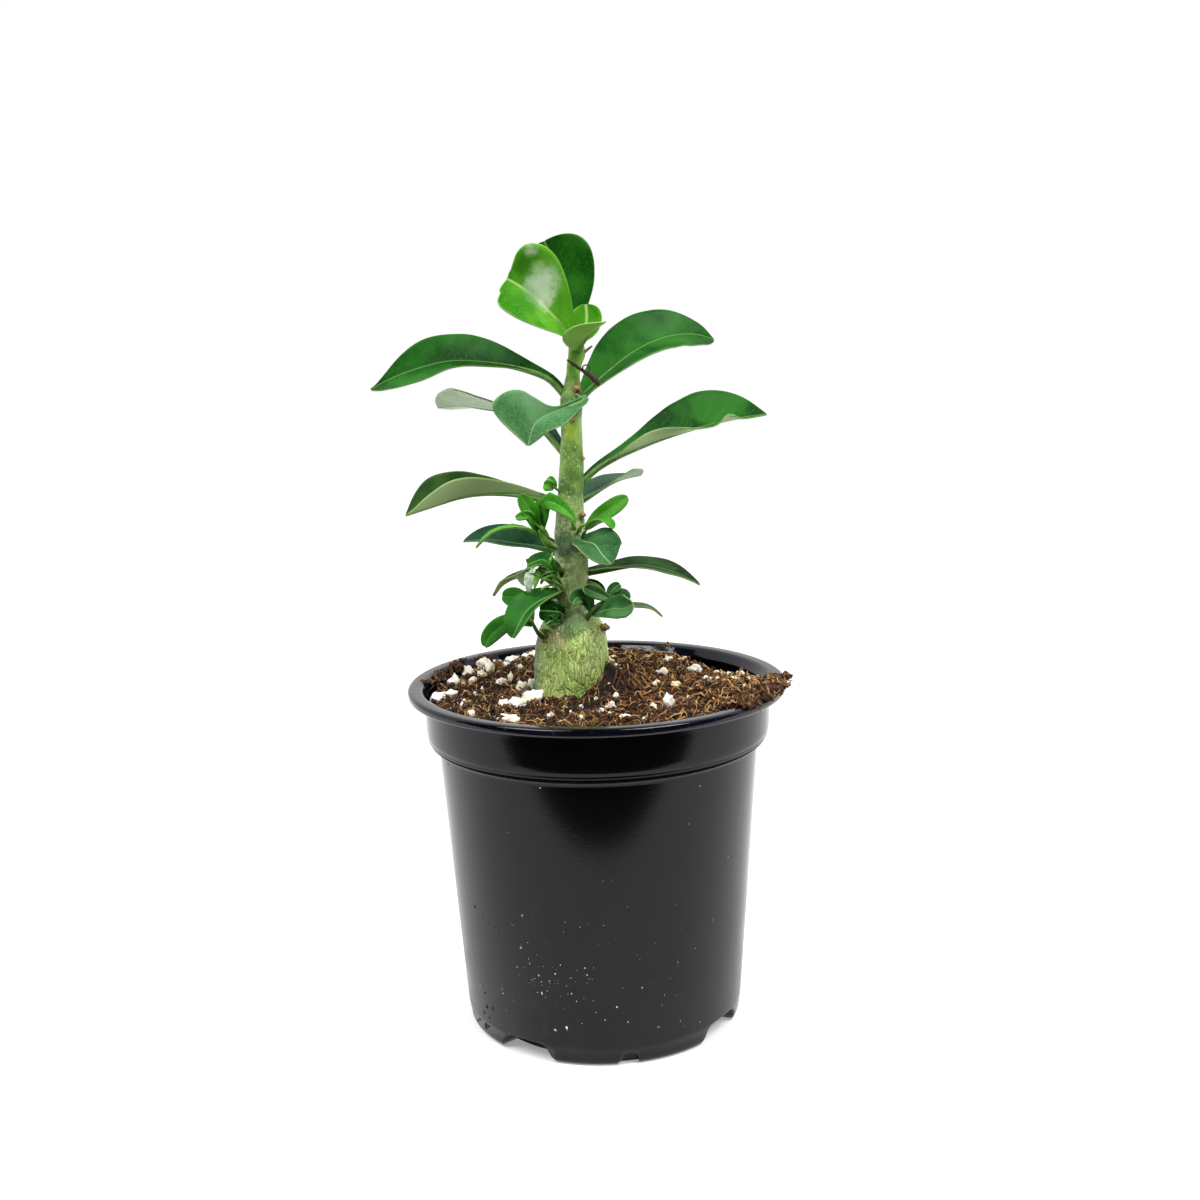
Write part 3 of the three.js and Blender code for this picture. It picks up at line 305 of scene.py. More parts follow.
LEAVES = {
    "leaf_apex_front": {
        "look": "leaf_bright",
        "rib": [(-4.5, -0.2, 206.5), (-7.5, -2.5, 210.8), (-12.5, -7, 216.5), (-17.5, -10.5, 221),
                (-22, -12.5, 224)],
        "face": [(0.45, -0.75, 0.5), (0.35, -0.9, 0.2)], "half": (12.2, 12.4), "point": (0.42, 0.45),
        "fold": (14, 18), "curl": 20, "sweep": 0.38,
        "notches": [(1, 0.985, 2.2, 0.012), (0, 0.955, 1.8, 0.02)]},
    "leaf_apex_back": {
        "look": "leaf_dark",
        "rib": [(-3.8, 1.4, 206), (-5, 5.8, 212), (-6.8, 7.4, 221), (-9.2, 7.6, 228.5),
                (-12, 6.6, 235)],
        "face": [(0, -1, 0.2), (0.1, -1, 0.1)], "half": (9.4, 11), "neck": (1.2, 1.5),
        "point": (0.5, 0.6), "sweep": 0.18},
    "leaf_apex_right": {
        **SMALL_LEAF, "look": "leaf_bright",
        "rib": [(-2.2, 0.2, 206), (-0.6, 0.8, 210), (-0.2, 1, 213), (-0.3, 1.2, 216.5)],
        "face": [(-0.3, -1, 0.2), (0, -1, 0.2)], "half": 4.2, "neck": 0.8},
    "leaf_apex_small": {
        **SMALL_LEAF, "look": "leaf_bright",
        "rib": [(-3.2, -1.5, 203.4), (-1, -6.4, 206.8), (2, -10.5, 209.6), (5, -14, 211.6)],
        "face": [(-0.3, 0.35, 0.88)], "half": (2.4, 5.6), "neck": (0.8, 0.7), "point": (0.8, 1.3),
        "fold": 20},
    "leaf_upper_left": {
        "rib": [(-6.5, 0, 190.5), (-11, 0.5, 195.5), (-18, 1, 198.5), (-28, 3, 200.5),
                (-40.5, 5, 201.3), (-52, 5, 198.9), (-59, 4, 196.4), (-64.5, 3, 193.6)],
        "face": [(0.3, -0.64, 0.77), (0, -0.64, 0.77), (0, -0.8, 0.6)], "half": (8, 8.3),
        "neck": (2.8, 2.9), "point": (0.9, 1.9), "fold": 20, "sweep": 0.04, "wave": 0.5},
    "leaf_upper_right": {
        "rib": [(-4, 0.5, 189), (3, 5, 195), (14.5, 14, 203), (24, 20, 206.6), (33, 24.5, 207),
                (38.8, 27, 205.4)],
        "face": [(-0.5, -0.6, 0.6), (-0.3, -0.7, 0.6), (0, -0.8, 0.6)], "half": (10.4, 8.2),
        "neck": (1.35, 0.85), "point": (1.2, 0.62), "fold": 15},
    "leaf_mid_right": {
        "rib": [(-4, 0, 164.5), (3, 3, 170), (18, 9, 175.5), (29.5, 13, 178.5), (45, 17, 181.5),
                (54, 18, 182.5)],
        "face": [(-0.3, -0.6, 0.7), (0, -0.6, 0.8), (0, -0.6, 0.8)], "half": (11.8, 4.0),
        "neck": (3.0, 1.4), "point": (1.15, 0.8), "fold": (12, 24), "curl": (8, 15), "sweep": 0.06,
        "rolls": [(1, 0.4, 0.17, 62), (1, 0.8, 0.05, 40)]},
    "leaf_mid_left": {
        "look": "leaf_olive",
        "rib": [(-7, 0, 158), (-12.5, -2, 160.3), (-22.5, -3, 162.5), (-36, -5, 162.5),
                (-47.5, -8, 159.5), (-54.5, -9, 157.5)],
        "face": [(0, 0, 1)], "half": (5.4, 8), "neck": (3, 3.3), "point": (1.6, 1.2), "fold": 60,
        "curl": 15},
    "leaf_back_left": {
        "look": "leaf_dusky",
        "rib": [(-6, 1, 172), (-15, 8, 181.5), (-23, 16, 185), (-31, 22, 186), (-40.5, 27, 187),
                (-47.5, 30, 186.5)],
        "face": [(0.3, -0.2, 0.9), (0, 0.2, 0.95), (0, 0.5, 0.85)], "half": 9, "neck": 1.4},
    "leaf_front": {
        "look": "leaf_grey",
        "rib": [(-3.5, -1.5, 191), (-1.6, -4, 189.6), (-5.8, -8, 187.9), (-11.4, -15, 186.2),
                (-14.2, -18.5, 184.8), (-15.9, -21, 182.9), (-17.4, -23.5, 178.1)],
        "face": [(0.45, -0.6, 0.65), (0.3, -0.75, 0.55), (0.2, -0.95, 0.3)], "half": (5.5, 14.5),
        "neck": (2, 7.5), "point": 0.9, "fold": (20, 26), "sweep": -0.15},
    "leaf_back_right": {
        "look": "leaf_dusky",
        "rib": [(-5, 1, 159), (1, 7, 161.5), (7.5, 12, 164), (15, 17, 165)],
        "face": [(-0.3, -0.3, 0.9), (0, 0.3, 0.95)], "half": 7, "neck": 0.8},
    "leaf_low_left": {
        "look": "leaf_dusky",
        "rib": [(-8, 2, 142.5), (-14, 3.5, 145), (-23.5, 5, 146.5), (-32, 7, 147.5), (-39.5, 8, 147)],
        "face": [(0, -0.3, 0.95)], "half": (6, 6.5), "neck": 1.2, "point": 0.9, "fold": (15, 20)},
    "leaf_low_right": {
        "look": "leaf_shaded",
        "rib": [(-5, 0, 138), (2, -1, 139), (14.5, -3, 140.2), (24, -4, 138), (31.5, -4, 134)],
        "face": [(0, -0.2, 0.95)], "half": 6, "neck": 1.3, "point": 0.9, "fold": (0, 10)},
    "leaf_fold_right": {
        "look": "leaf_folded",
        "rib": [(-4.5, -3, 148.3), (-2.5, -5.5, 148), (0.5, -9, 147.5), (2.5, -12, 145),
                (5, -14, 142.5)],
        "face": [(0.2, -0.5, 0.8), (0.4, -0.6, 0.6)], "half": (6.5, 7), "neck": 0.9, "point": 0.7,
        "fold": (25, 10)},
    "leaf_thin_upper": {
        **SMALL_LEAF,
        "rib": [(-5, 0, 136.5), (-1.5, 0, 134.5), (1, -1, 133.5), (3, -2, 131.5)],
        "face": [(0, 0, 1), (0.3, 0, 1)], "half": 1.2, "fold": 40},
    "leaf_thin_lower": {
        **SMALL_LEAF, "look": "leaf_olive",
        "rib": [(-4.5, 4, 122), (1, 8, 125.5), (6, 11, 126.5), (11.5, 13, 125), (17, 14, 124),
                (21, 14, 121)],
        "face": [(0, 0, 1), (0.5, 0, 0.8)], "half": 3, "fold": 0},
    "leaf_thin_left": {
        **SMALL_LEAF, "look": "leaf_olive",
        "rib": [(-11.5, 0, 134.5), (-16.5, 3, 137), (-22, 5, 136.5), (-27.5, 7, 134), (-31, 8, 130)],
        "face": [(0, 0, 1), (-0.5, 0, 0.8)], "half": 2.5, "fold": 20},
    "leaf_drooping_left": {
        "rib": [(-9.5, -3.6, 133), (-12.5, -7.5, 132.6), (-16.5, -11, 131.3), (-20, -14, 129),
                (-22.5, -17, 125), (-24, -18, 122)],
        "face": [(0.1, -0.4, 0.9), (-0.2, -0.8, 0.5)], "half": (3.2, 4.9), "neck": 1,
        "point": (0.9, 0.6), "fold": (35, 10)},
}

SHOOTS = {
    "shoot_axil": {
        "look": "fresh",
        "twig": [(-8, -1, 162), (-10, -2.5, 163), (-11.5, -3.5, 164.2)],
        "thick": (0.8, 0.5),
        "leaves": [
            {**TINY_LEAF, "rib": [(-11, -3, 163.5), (-11.5, -3.5, 165.2), (-12.5, -3.5, 167)],
             "face": [(0, -1, 0.2)], "half": 0.8},
            {**TINY_LEAF, "rib": [(-11, -3, 163.5), (-12.5, -4, 164.5), (-14, -4.5, 165)],
             "face": [(0, -1, 0)], "half": 1.4},
        ],
    },
    "shoot_upper_left": {
        "look": "fresh",
        "twig": [(-8, -2, 144.5), (-13, -3, 147.3), (-16, -3.2, 151.5)],
        "thick": (1.4, 1.1),
        "leaves": [
            {"rib": [(-16, -3, 150.5), (-18, -4, 156.5), (-21, -5, 162)],
             "face": [(0.3, -1, 0.1)], "half": 2.1},
            {**TINY_LEAF, "rib": [(-17, -3, 153), (-19, -5, 156), (-22.5, -6, 155.5)],
             "face": [(0.3, -1, 0.1)], "half": 0.9},
            {"rib": [(-15.5, -3, 150.5), (-15.5, -3, 156), (-14.5, -4.5, 160), (-10.5, -8, 159.5),
                    (-7, -9, 157), (-5, -9, 154.5)],
             "face": [(0, -1, 0), (0, -1, 0.6), (0, -1, 0.6)], "half": 2.2, "neck": 0.6, "point": 0.8,
             "rows": 9},
            {**TINY_LEAF, "rib": [(-16, -3, 150), (-20, -5, 152.5), (-24.5, -6, 153), (-30, -8, 151.5),
                    (-34.5, -9, 147.5)],
             "face": [(0, 0, 1), (-0.5, 0, 0.8)], "half": 1.4, "rows": 8},
        ],
    },
    "shoot_upper_right": {
        "look": "fresh",
        "twig": [(-5, 1, 148.5), (-3, 1, 150), (-1.5, 1, 151.5)],
        "thick": (1.2, 0.8),
        "leaves": [
            {"rib": [(-2, 1, 151), (1.5, 1.5, 154), (6, 1, 157), (10.5, 0, 160)],
             "face": [(-0.3, -1, 0.3)], "half": 2.2},
            {"rib": [(-2, 0.5, 151), (1.5, -3, 153.6), (4.5, -6, 153.6), (6, -7.5, 152)],
             "face": [(0, 0, 1), (0.3, -0.3, 0.8)], "half": 1.8},
        ],
    },
    "shoot_middle_left": {
        "look": "pale",
        "twig": [(-9, -1.5, 135), (-11.5, -3, 137), (-12.5, -4, 139)],
        "thick": (1.1, 0.8),
        "leaves": [
            {"rib": [(-12, -4, 138), (-14, -4.5, 141), (-17.5, -5, 142), (-20.5, -4.5, 140),
                    (-20.5, -3.5, 136.5), (-20, -2.5, 134.5)],
             "face": [(0, -0.3, 1), (-0.6, -0.4, 0.8), (0.3, 1, 0.1)], "half": 2.4, "rows": 8},
            {**TINY_LEAF, "rib": [(-12, -4, 138), (-14.5, -2.5, 140), (-17, -2.5, 139),
                    (-17.5, -2.5, 136.5), (-17.5, -1.5, 135)],
             "face": [(0, 0, 1), (-1, 0, 0)], "half": 1, "rows": 7},
            {**TINY_LEAF, "rib": [(-12, -4, 138), (-14.5, -4.5, 137.5), (-16, -4, 135.5)],
             "face": [(0, 0, 1), (-1, 0, 0.3)], "half": 1.2},
            {"rib": [(-12, -4, 138), (-12.8, -4.8, 141), (-15, -5.2, 142.8), (-19.5, -6, 141.5)],
             "face": [(0, -0.5, 1), (-0.5, -0.8, 0.5)], "half": 2},
        ],
    },
    "shoot_low_left": {
        "twig": [(-12, -3, 117), (-16.5, -6, 120), (-19, -9, 125.5)],
        "thick": (1.2, 0.8),
        "leaves": [
            {"rib": [(-19, -8, 125), (-21, -2, 128), (-24.5, 1, 130.5), (-28, 3, 130.5)],
             "face": [(-0.3, -0.6, 1), (-0.3, -0.9, 0.3)], "half": 2.8},
            {"rib": [(-18.5, -8, 124), (-22.5, -7, 125), (-27, -8, 124), (-31, -9, 121),
                    (-33, -10, 118)],
             "face": [(0, -0.8, 0.6), (-0.3, -0.9, 0.3)], "half": 2.5},
        ],
    },
    "shoot_low_front": {
        "look": "ribbed",
        "twig": [(-10, -6, 123), (-10, -8, 125), (-9.5, -8.2, 126.8)],
        "thick": (1.0, 0.8),
        "leaves": [
            {"rib": [(-9.5, -7.5, 126.5), (-10.5, -8.5, 127.5), (-13.5, -8.2, 127.8),
                    (-16.4, -7, 127.8)],
             "face": [(0, -1, 0.4)], "half": 2.8},
            {**TINY_LEAF, "rib": [(-10, -8, 124.8), (-12.5, -10, 125.5), (-14.5, -11, 124.5)],
             "face": [(0, -1, 0.4)], "half": 1},
        ],
    },
    "shoot_low_right": {
        "look": "sage",
        "twig": [(-3, -5, 124), (-0.5, -7, 127.5), (3.5, -8.5, 130.5), (5, -9, 131.5)],
        "thick": (1.3, 0.8),
        "leaves": [
            {"rib": [(-1, -7, 127.5), (-2.5, -8, 131), (-5, -10, 132), (-6.5, -12, 130.5)],
             "face": [(0, -1, 0.4)], "half": 2},
            {**TINY_LEAF, "rib": [(4.5, -9, 131), (1.5, -9, 132.5), (-1.5, -10, 134), (-3, -11, 135)],
             "face": [(0, -1, 0.4)], "half": 1.6},
            {**TINY_LEAF, "rib": [(4.5, -9, 131), (5, -9, 133.5), (7.5, -9, 135.5)],
             "face": [(-0.5, -1, 0.3)], "half": 1.2},
            {**TINY_LEAF, "rib": [(4.5, -9, 130.5), (7.5, -10, 132.5), (10, -12, 131.5)],
             "face": [(0, -1, 0.6)], "half": 1.5},
            {"rib": [(-1, -7, 126.5), (1.5, -9, 127.5), (5, -13, 129), (8.5, -16, 129.5),
                    (11, -18, 131)],
             "face": [(0, -0.7, 0.7), (0, -0.9, 0.4)], "half": (3.8, 3.2), "rows": 8},
        ],
    },
}


def tone(red, green, blue):
    """A tone from 0 to 255 on the screen, as linear light."""
    parts = []
    for part in (red, green, blue):
        share = part / 255
        parts.append(share / 12.92 if share <= 0.04045 else ((share + 0.055) / 1.055) ** 2.4)
    return (*parts, 1.0)


def both(value):
    """The value for the left and the right half: a single number stands for both."""
    return value if isinstance(value, tuple) else (value, value)


class Shader:
    """A material and short ways to put nodes into it."""

    def __init__(self, name):
        self.material = bpy.data.materials.new(name)
        self.material.use_nodes = True
        self.tree = self.material.node_tree
        self.tree.nodes.clear()

    def put(self, kind, inputs=None, **settings):
        """Adds a node. An input is a socket to link or a value."""
        made = self.tree.nodes.new(kind)
        for key, value in settings.items():
            setattr(made, key, value)
        for key, value in (inputs or {}).items():
            if isinstance(value, bpy.types.NodeSocket):
                self.tree.links.new(value, made.inputs[key])
            else:
                made.inputs[key].default_value = value
        return made

    def math(self, operation, first, second=0.0):
        return self.put("ShaderNodeMath", {0: first, 1: second}, operation=operation).outputs[0]

    def times(self, first, second):
        return self.math("MULTIPLY", first, second)

    def plus(self, first, second):
        return self.math("ADD", first, second)

    def vector(self, operation, first, second):
        return self.put("ShaderNodeVectorMath", {0: first, 1: second}, operation=operation).outputs

    def place(self, scale=None):
        """The point on the object, in metres, stretched by scale."""
        point = self.put("ShaderNodeTexCoord").outputs["Object"]
        if scale is None:
            return point
        return self.put("ShaderNodeMapping", {"Vector": point, "Scale": scale}).outputs[0]

    def axes(self):
        """The point's three coordinates on the object, in metres."""
        return self.put("ShaderNodeSeparateXYZ", {0: self.place()}).outputs

    def attribute(self, name):
        return self.put("ShaderNodeAttribute", attribute_name=name).outputs["Fac"]

    def noise(self, scale, detail=3.0, roughness=0.55, vector=None):
        inputs = {"Vector": vector or self.place(), "Scale": scale, "Detail": detail,
                  "Roughness": roughness}
        return self.put("ShaderNodeTexNoise", inputs).outputs["Fac"]

    def cells(self, scale, vector, feature="F1"):
        inputs = {"Vector": vector, "Scale": scale}
        return self.put("ShaderNodeTexVoronoi", inputs, feature=feature).outputs["Distance"]

    def remap(self, value, low, high, to_low=0.0, to_high=1.0):
        inputs = {0: value, 1: low, 2: high, 3: to_low, 4: to_high}
        return self.put("ShaderNodeMapRange", inputs, interpolation_type="SMOOTHSTEP").outputs[0]

    def clouds(self, scale, low, high, detail=3.0, roughness=0.55):
        """Soft spots of noise: nought up to low, and one from high on."""
        return self.remap(self.noise(scale, detail, roughness), low, high)

    def warped(self, scale, amount, squeeze):
        """The point on the object, bent by noise and squeezed upright."""
        bend = self.put("ShaderNodeTexNoise", {"Vector": self.place(), "Scale": scale}).outputs["Color"]
        shift = self.vector("SUBTRACT", bend, (0.5, 0.5, 0.5))[0]
        shift = self.vector("MULTIPLY", shift, (amount, amount, 0))[0]
        moved = self.vector("ADD", self.place(), shift)[0]
        return self.put("ShaderNodeMapping", {"Vector": moved, "Scale": (1, 1, squeeze)}).outputs[0]

    def mix(self, share, first, second):
        inputs = {0: share, 6: first, 7: second}
        return self.put("ShaderNodeMix", inputs, data_type="RGBA").outputs[2]

    def over(self, colour, tint, mask, share):
        """Lays a tint over the colour where the mask is one, and only as strongly as share."""
        return self.mix(self.times(mask, share), colour, tint)

    def patch(self, place, radius, ragged, soft):
        """One inside a ragged round patch about a place given in millimetres, nought outside it."""
        spot = tuple(part * MM for part in place)
        away = self.vector("DISTANCE", self.place(), spot)[1]
        uneven = self.math("SUBTRACT", self.noise(500, 4, 0.65), 0.5)
        away = self.plus(away, self.times(uneven, radius * MM * ragged * 4))
        return self.remap(away, radius * MM * (1 + soft), radius * MM * (1 - soft))

    def painted(self, colour, patches, ragged, soft):
        """Lays ragged patches of other tones over the colour."""
        for place, radius, tint, share in patches:
            colour = self.over(colour, tone(*tint), self.patch(place, radius, ragged, soft), share)
        return colour

    def ramp(self, value, stops):
        """Tones along a value from nought to one."""
        made = self.put("ShaderNodeValToRGB", {0: value})
        marks = made.color_ramp.elements
        while len(marks) < len(stops):
            marks.new(0.5)
        for mark, (position, tint) in zip(marks, stops):
            mark.position = position
            mark.color = tone(*tint)
        return made.outputs[0]

    def bump(self, height, strength, distance):
        inputs = {"Height": height, "Strength": strength, "Distance": distance}
        return self.put("ShaderNodeBump", inputs).outputs[0]

    def finish(self, colour, roughness, normal=None, specular=None, ior=None, **glow):
        """Ends the material with its surface."""
        inputs = {"Base Color": colour, "Roughness": roughness, "Normal": normal,
                  "Specular IOR Level": specular, "IOR": ior, **glow}
        given = {key: value for key, value in inputs.items() if value is not None}
        surface = self.put("ShaderNodeBsdfPrincipled", given)
        output = self.put("ShaderNodeOutputMaterial")
        self.tree.links.new(surface.outputs[0], output.inputs[0])
        return self.material


def smoothed(rows, key):
    """Reads the rows of a table at key, its first column, along a smooth curve."""
    k = 0
    while k < len(rows) - 2 and key > rows[k + 1][0]:
        k += 1
    here, there = rows[k], rows[k + 1]
    before = rows[max(k - 1, 0)]
    after = rows[min(k + 2, len(rows) - 1)]
    span = there[0] - here[0]
    t = min(max((key - here[0]) / span, 0.0), 1.0)
    values = []
    for column in range(1, len(here)):
        start = (there[column] - before[column]) / (there[0] - before[0]) * span
        end = (after[column] - here[column]) / (after[0] - here[0]) * span
        a, b = here[column], there[column]
        values.append(a + start * t + (3 * (b - a) - 2 * start - end) * t * t
                      + (2 * (a - b) + start + end) * t ** 3)
    return values + [k + t]


class Line:
    """A smooth curve through points, read by its share of the length."""

    SPAN_STEPS = 16

    def __init__(self, points):
        knots = [Vector(p) for p in points]
        knots = [knots[0] * 2 - knots[1], *knots, knots[-1] * 2 - knots[-2]]
        self.places = []
        for k in range(len(knots) - 3):
            self.places.extend(self.span(*knots[k:k + 4]))
        self.places.append(knots[-2])
        self.run = [0.0]
        for here, there in zip(self.places, self.places[1:]):
            self.run.append(self.run[-1] + (there - here).length)

    def span(self, before, here, there, after):
        """The points from here to there, with even speed through uneven knots."""
        first, middle, last = ((q - p).length ** 0.5 for p, q in
                               ((before, here), (here, there), (there, after)))
        start = (here - before) / first - (there - before) / (first + middle)
        start = (start + (there - here) / middle) * middle
        end = (there - here) / middle - (after - here) / (middle + last)
        end = (end + (after - there) / last) * middle
        for i in range(self.SPAN_STEPS):
            t = i / self.SPAN_STEPS
            yield (here + start * t + (3 * (there - here) - 2 * start - end) * t * t
                   + (2 * (here - there) + start + end) * t ** 3)

    def at(self, share):
        """The place and the direction at a share of the length."""
        target = share * self.run[-1]
        k = 0
        while k < len(self.run) - 2 and self.run[k + 1] < target:
            k += 1
        t = (target - self.run[k]) / (self.run[k + 1] - self.run[k])
        last = len(self.places) - 1
        here = self.places[min(k + 1, last)] - self.places[max(k - 1, 0)]
        there = self.places[min(k + 2, last)] - self.places[k]
        place = self.places[k].lerp(self.places[k + 1], t)
        return place, here.normalized().lerp(there.normalized(), t).normalized()


def polar(angle, away):
    """The x and y at a direction and a distance from the pot's axis."""
    return away * math.cos(angle), away * math.sin(angle)


def sheet_of(columns, rows):
    """A flat grid from 0 to 1 each way."""
    bm = bmesh.new()
    bmesh.ops.create_grid(bm, x_segments=columns, y_segments=rows, size=0.5)
    bmesh.ops.translate(bm, verts=bm.verts, vec=(0.5, 0.5, 0))
    return bm


def outward(bm):
    """Turns every face outwards."""
    bmesh.ops.recalc_face_normals(bm, faces=bm.faces)


def closed(bm):
    """Fills the open ends and turns every face outwards."""
    bmesh.ops.holes_fill(bm, edges=[edge for edge in bm.edges if edge.is_boundary])
    outward(bm)


def wrapped(around, along, place):
    """A tube closed at both ends: a grid wrapped round, where place(turn, share) gives each point."""
    bm = sheet_of(around, along)
    for vert in bm.verts:
        vert.co = place(vert.co.x, vert.co.y)
    bmesh.ops.remove_doubles(bm, verts=bm.verts, dist=1e-5)
    closed(bm)
    return bm


def rod(points, radii, around=10, along=16, squeeze=1.0):
    """A rounded bar along a curve, its radius read from the list radii."""
    line = Line(points)
    table = [(k / (len(radii) - 1), radius) for k, radius in enumerate(radii)]

    def place(turn, share):
        centre, along_line = line.at(share)
        guide = Vector((0, 1, 0)) if abs(along_line.z) > 0.8 else Vector((0, 0, 1))
        side = guide.cross(along_line).normalized()
        over = along_line.cross(side)
        radius = smoothed(table, share)[0]
        angle = 2 * math.pi * turn
        return centre + side * radius * math.cos(angle) + over * radius * squeeze * math.sin(angle)

    return wrapped(around, along, place)


def added(bm, other):
    """Puts the other mesh into this one."""
    carrier = bpy.data.meshes.new("carrier")
    other.to_mesh(carrier)
    other.free()
    bm.from_mesh(carrier)
    bpy.data.meshes.remove(carrier)


def lumps(bm, centre, size, seed, roughness, detail):
    """Adds a rough lump: a ball pulled unevenly out of round. Returns its points."""
    made = bmesh.ops.create_icosphere(bm, subdivisions=detail, radius=1)["verts"]
    shift = Vector((seed * 7.13, seed * 3.71, seed * 1.37))
    for vert in made:
        push = 1 + roughness * noise.noise(vert.co * 1.3 + shift) * 2.2
        push += roughness * 1.1 * noise.noise(vert.co * 3.1 + shift)
        push += roughness * 0.5 * noise.noise(vert.co * 6.3 + shift)
        vert.co = Vector(vert.co[i] * push * size[i] / 2 for i in range(3)) + Vector(centre)
    return made


def placed(name, data):
    """Puts an object with this mesh, light or camera into the scene."""
    made = bpy.data.objects.new(name, data)
    bpy.context.scene.collection.objects.link(made)
    return made


def mesh_of(name, bm, finishes=()):
    """Ends a mesh and gives it its finishes."""
    mesh = bpy.data.meshes.new(name)
    bm.to_mesh(mesh)
    bm.free()
    for finish in finishes:
        mesh.materials.append(finish)
    return mesh


def piece(name, bm, finishes, nodes=(), smooth=True):
    """Makes an object of the mesh, in metres, and ties it to the frame."""
    bmesh.ops.scale(bm, vec=(MM, MM, MM), verts=bm.verts)
    mesh = mesh_of(name, bm, finishes)
    mesh.polygons.foreach_set("use_smooth", [smooth] * len(mesh.polygons))
    made = placed(name, mesh)
    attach(made, "root")
    if nodes:
        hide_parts(*nodes)
    return made


def baked(made):
    """Applies the object's modifiers to its mesh."""
    bpy.context.view_layer.update()
    shown = made.evaluated_get(bpy.context.evaluated_depsgraph_get())
    mesh = bpy.data.meshes.new_from_object(shown)
    made.modifiers.clear()
    made.data = mesh


# Leaves


def blade_shape(share, neck, point):
    """The outline's width along the rib, from nought to one at the widest place."""
    widest = neck / (neck + point)
    return (share / widest) ** neck * ((1 - share) / (1 - widest)) ** point


def facings(leaf):
    """Where the upper side looks along the rib: at least two directions."""
    faces = [Vector(face) for face in leaf["face"]]
    return faces * 2 if len(faces) == 1 else faces


def rib_pose(line, faces, share):
    """A share of the rib's length: its place and the forward, upper and left directions there."""
    centre, along = line.at(share)
    turn = share * (len(faces) - 1)
    before = min(int(turn), len(faces) - 2)
    up = faces[before].lerp(faces[before + 1], turn - before)
    up = (up - along * up.dot(along)).normalized()
    return share, centre, along, up, up.cross(along)


def half_width(spec, hand, share, shape):
    """How far one half of the blade reaches from its rib, with its notches."""
    width = spec["stalk"] * (1 - share) + 0.25 + both(spec["half"])[hand] * shape
    for notch_hand, at, depth, spread in spec["notches"]:
        if notch_hand == hand:
            width -= depth * math.exp(-((share - at) / spread) ** 2)
    return width


def half_bend(spec, hand, share, reach):
    """How far one half of the blade turns up there, with its rolled edges."""
    bend = math.radians(both(spec["fold"])[hand] + both(spec["curl"])[hand] * reach * 0.5)
    for roll_hand, at, spread, turned_up in spec["rolls"]:
        if roll_hand == hand:
            bend += math.radians(turned_up) * math.exp(-((share - at) / spread) ** 2)
    return bend


def blade(spec):
    """One leaf blade, a single surface: its points carry where they are on the blade."""
    spec = {**USUAL_LEAF, **spec}
    rows = spec["rows"]
    line = Line(spec["rib"])
    faces = facings(spec)
    poses = [rib_pose(line, faces, math.sin(math.pi / 2 * row / rows)) for row in range(rows + 1)]
    bm = sheet_of(spec["columns"], rows)
    layers = {key: bm.verts.layers.float.new(key) for key in ("across", "along", "reach")}
    for vert in bm.verts:
        row = round(vert.co.y * rows)
        share, centre, along, up, left = poses[row]
        side = 1 - 2 * vert.co.x
        hand = 0 if side >= 0 else 1
        sign = 1 if side >= 0 else -1
        reach = abs(side)
        neck, point = both(spec["neck"])[hand], both(spec["point"])[hand]
        shape = blade_shape(share, neck, point) if row < rows else 0.0
        width = half_width(spec, hand, share, shape)
        bend = half_bend(spec, hand, share, reach)
        away = width * reach
        rise = away * math.sin(bend)
        ripple = math.sin(2 * math.pi * EDGE_WAVES * share + hand * 2)
        rise += spec["wave"] * shape * reach ** 2 * ripple
        rise -= RIB_GROOVE * (1 - 0.6 * share) * math.exp(-(away / 0.7) ** 2)
        pucker = noise.noise(centre / 9 + Vector((side * width / 6, share * 3, hand * 5)))
        rise += 0.5 * pucker * shape * reach ** 1.5
        vert[layers["across"]] = sign * away
        vert[layers["along"]] = share * line.run[-1]
        vert[layers["reach"]] = reach
        out = left * sign * away * math.cos(bend)
        vert.co = centre + out + up * rise + along * spec["sweep"] * width * reach ** 2
    _, centre, _, up, _ = poses[rows // 2]
    bm.normal_update()
    sample = min(bm.faces, key=lambda face: (face.calc_center_median() - centre).length)
    if sample.normal.dot(up) < 0:
        bmesh.ops.reverse_faces(bm, faces=bm.faces)
    return bm


def thickened(made, thickness):
    """Gives a blade its thickness, with its own finish on the underside and the edge."""
    solid = made.modifiers.new("thickness", "SOLIDIFY")
    solid.thickness = thickness * MM
    solid.offset = -1
    solid.material_offset = 1
    solid.material_offset_rim = 2
    baked(made)


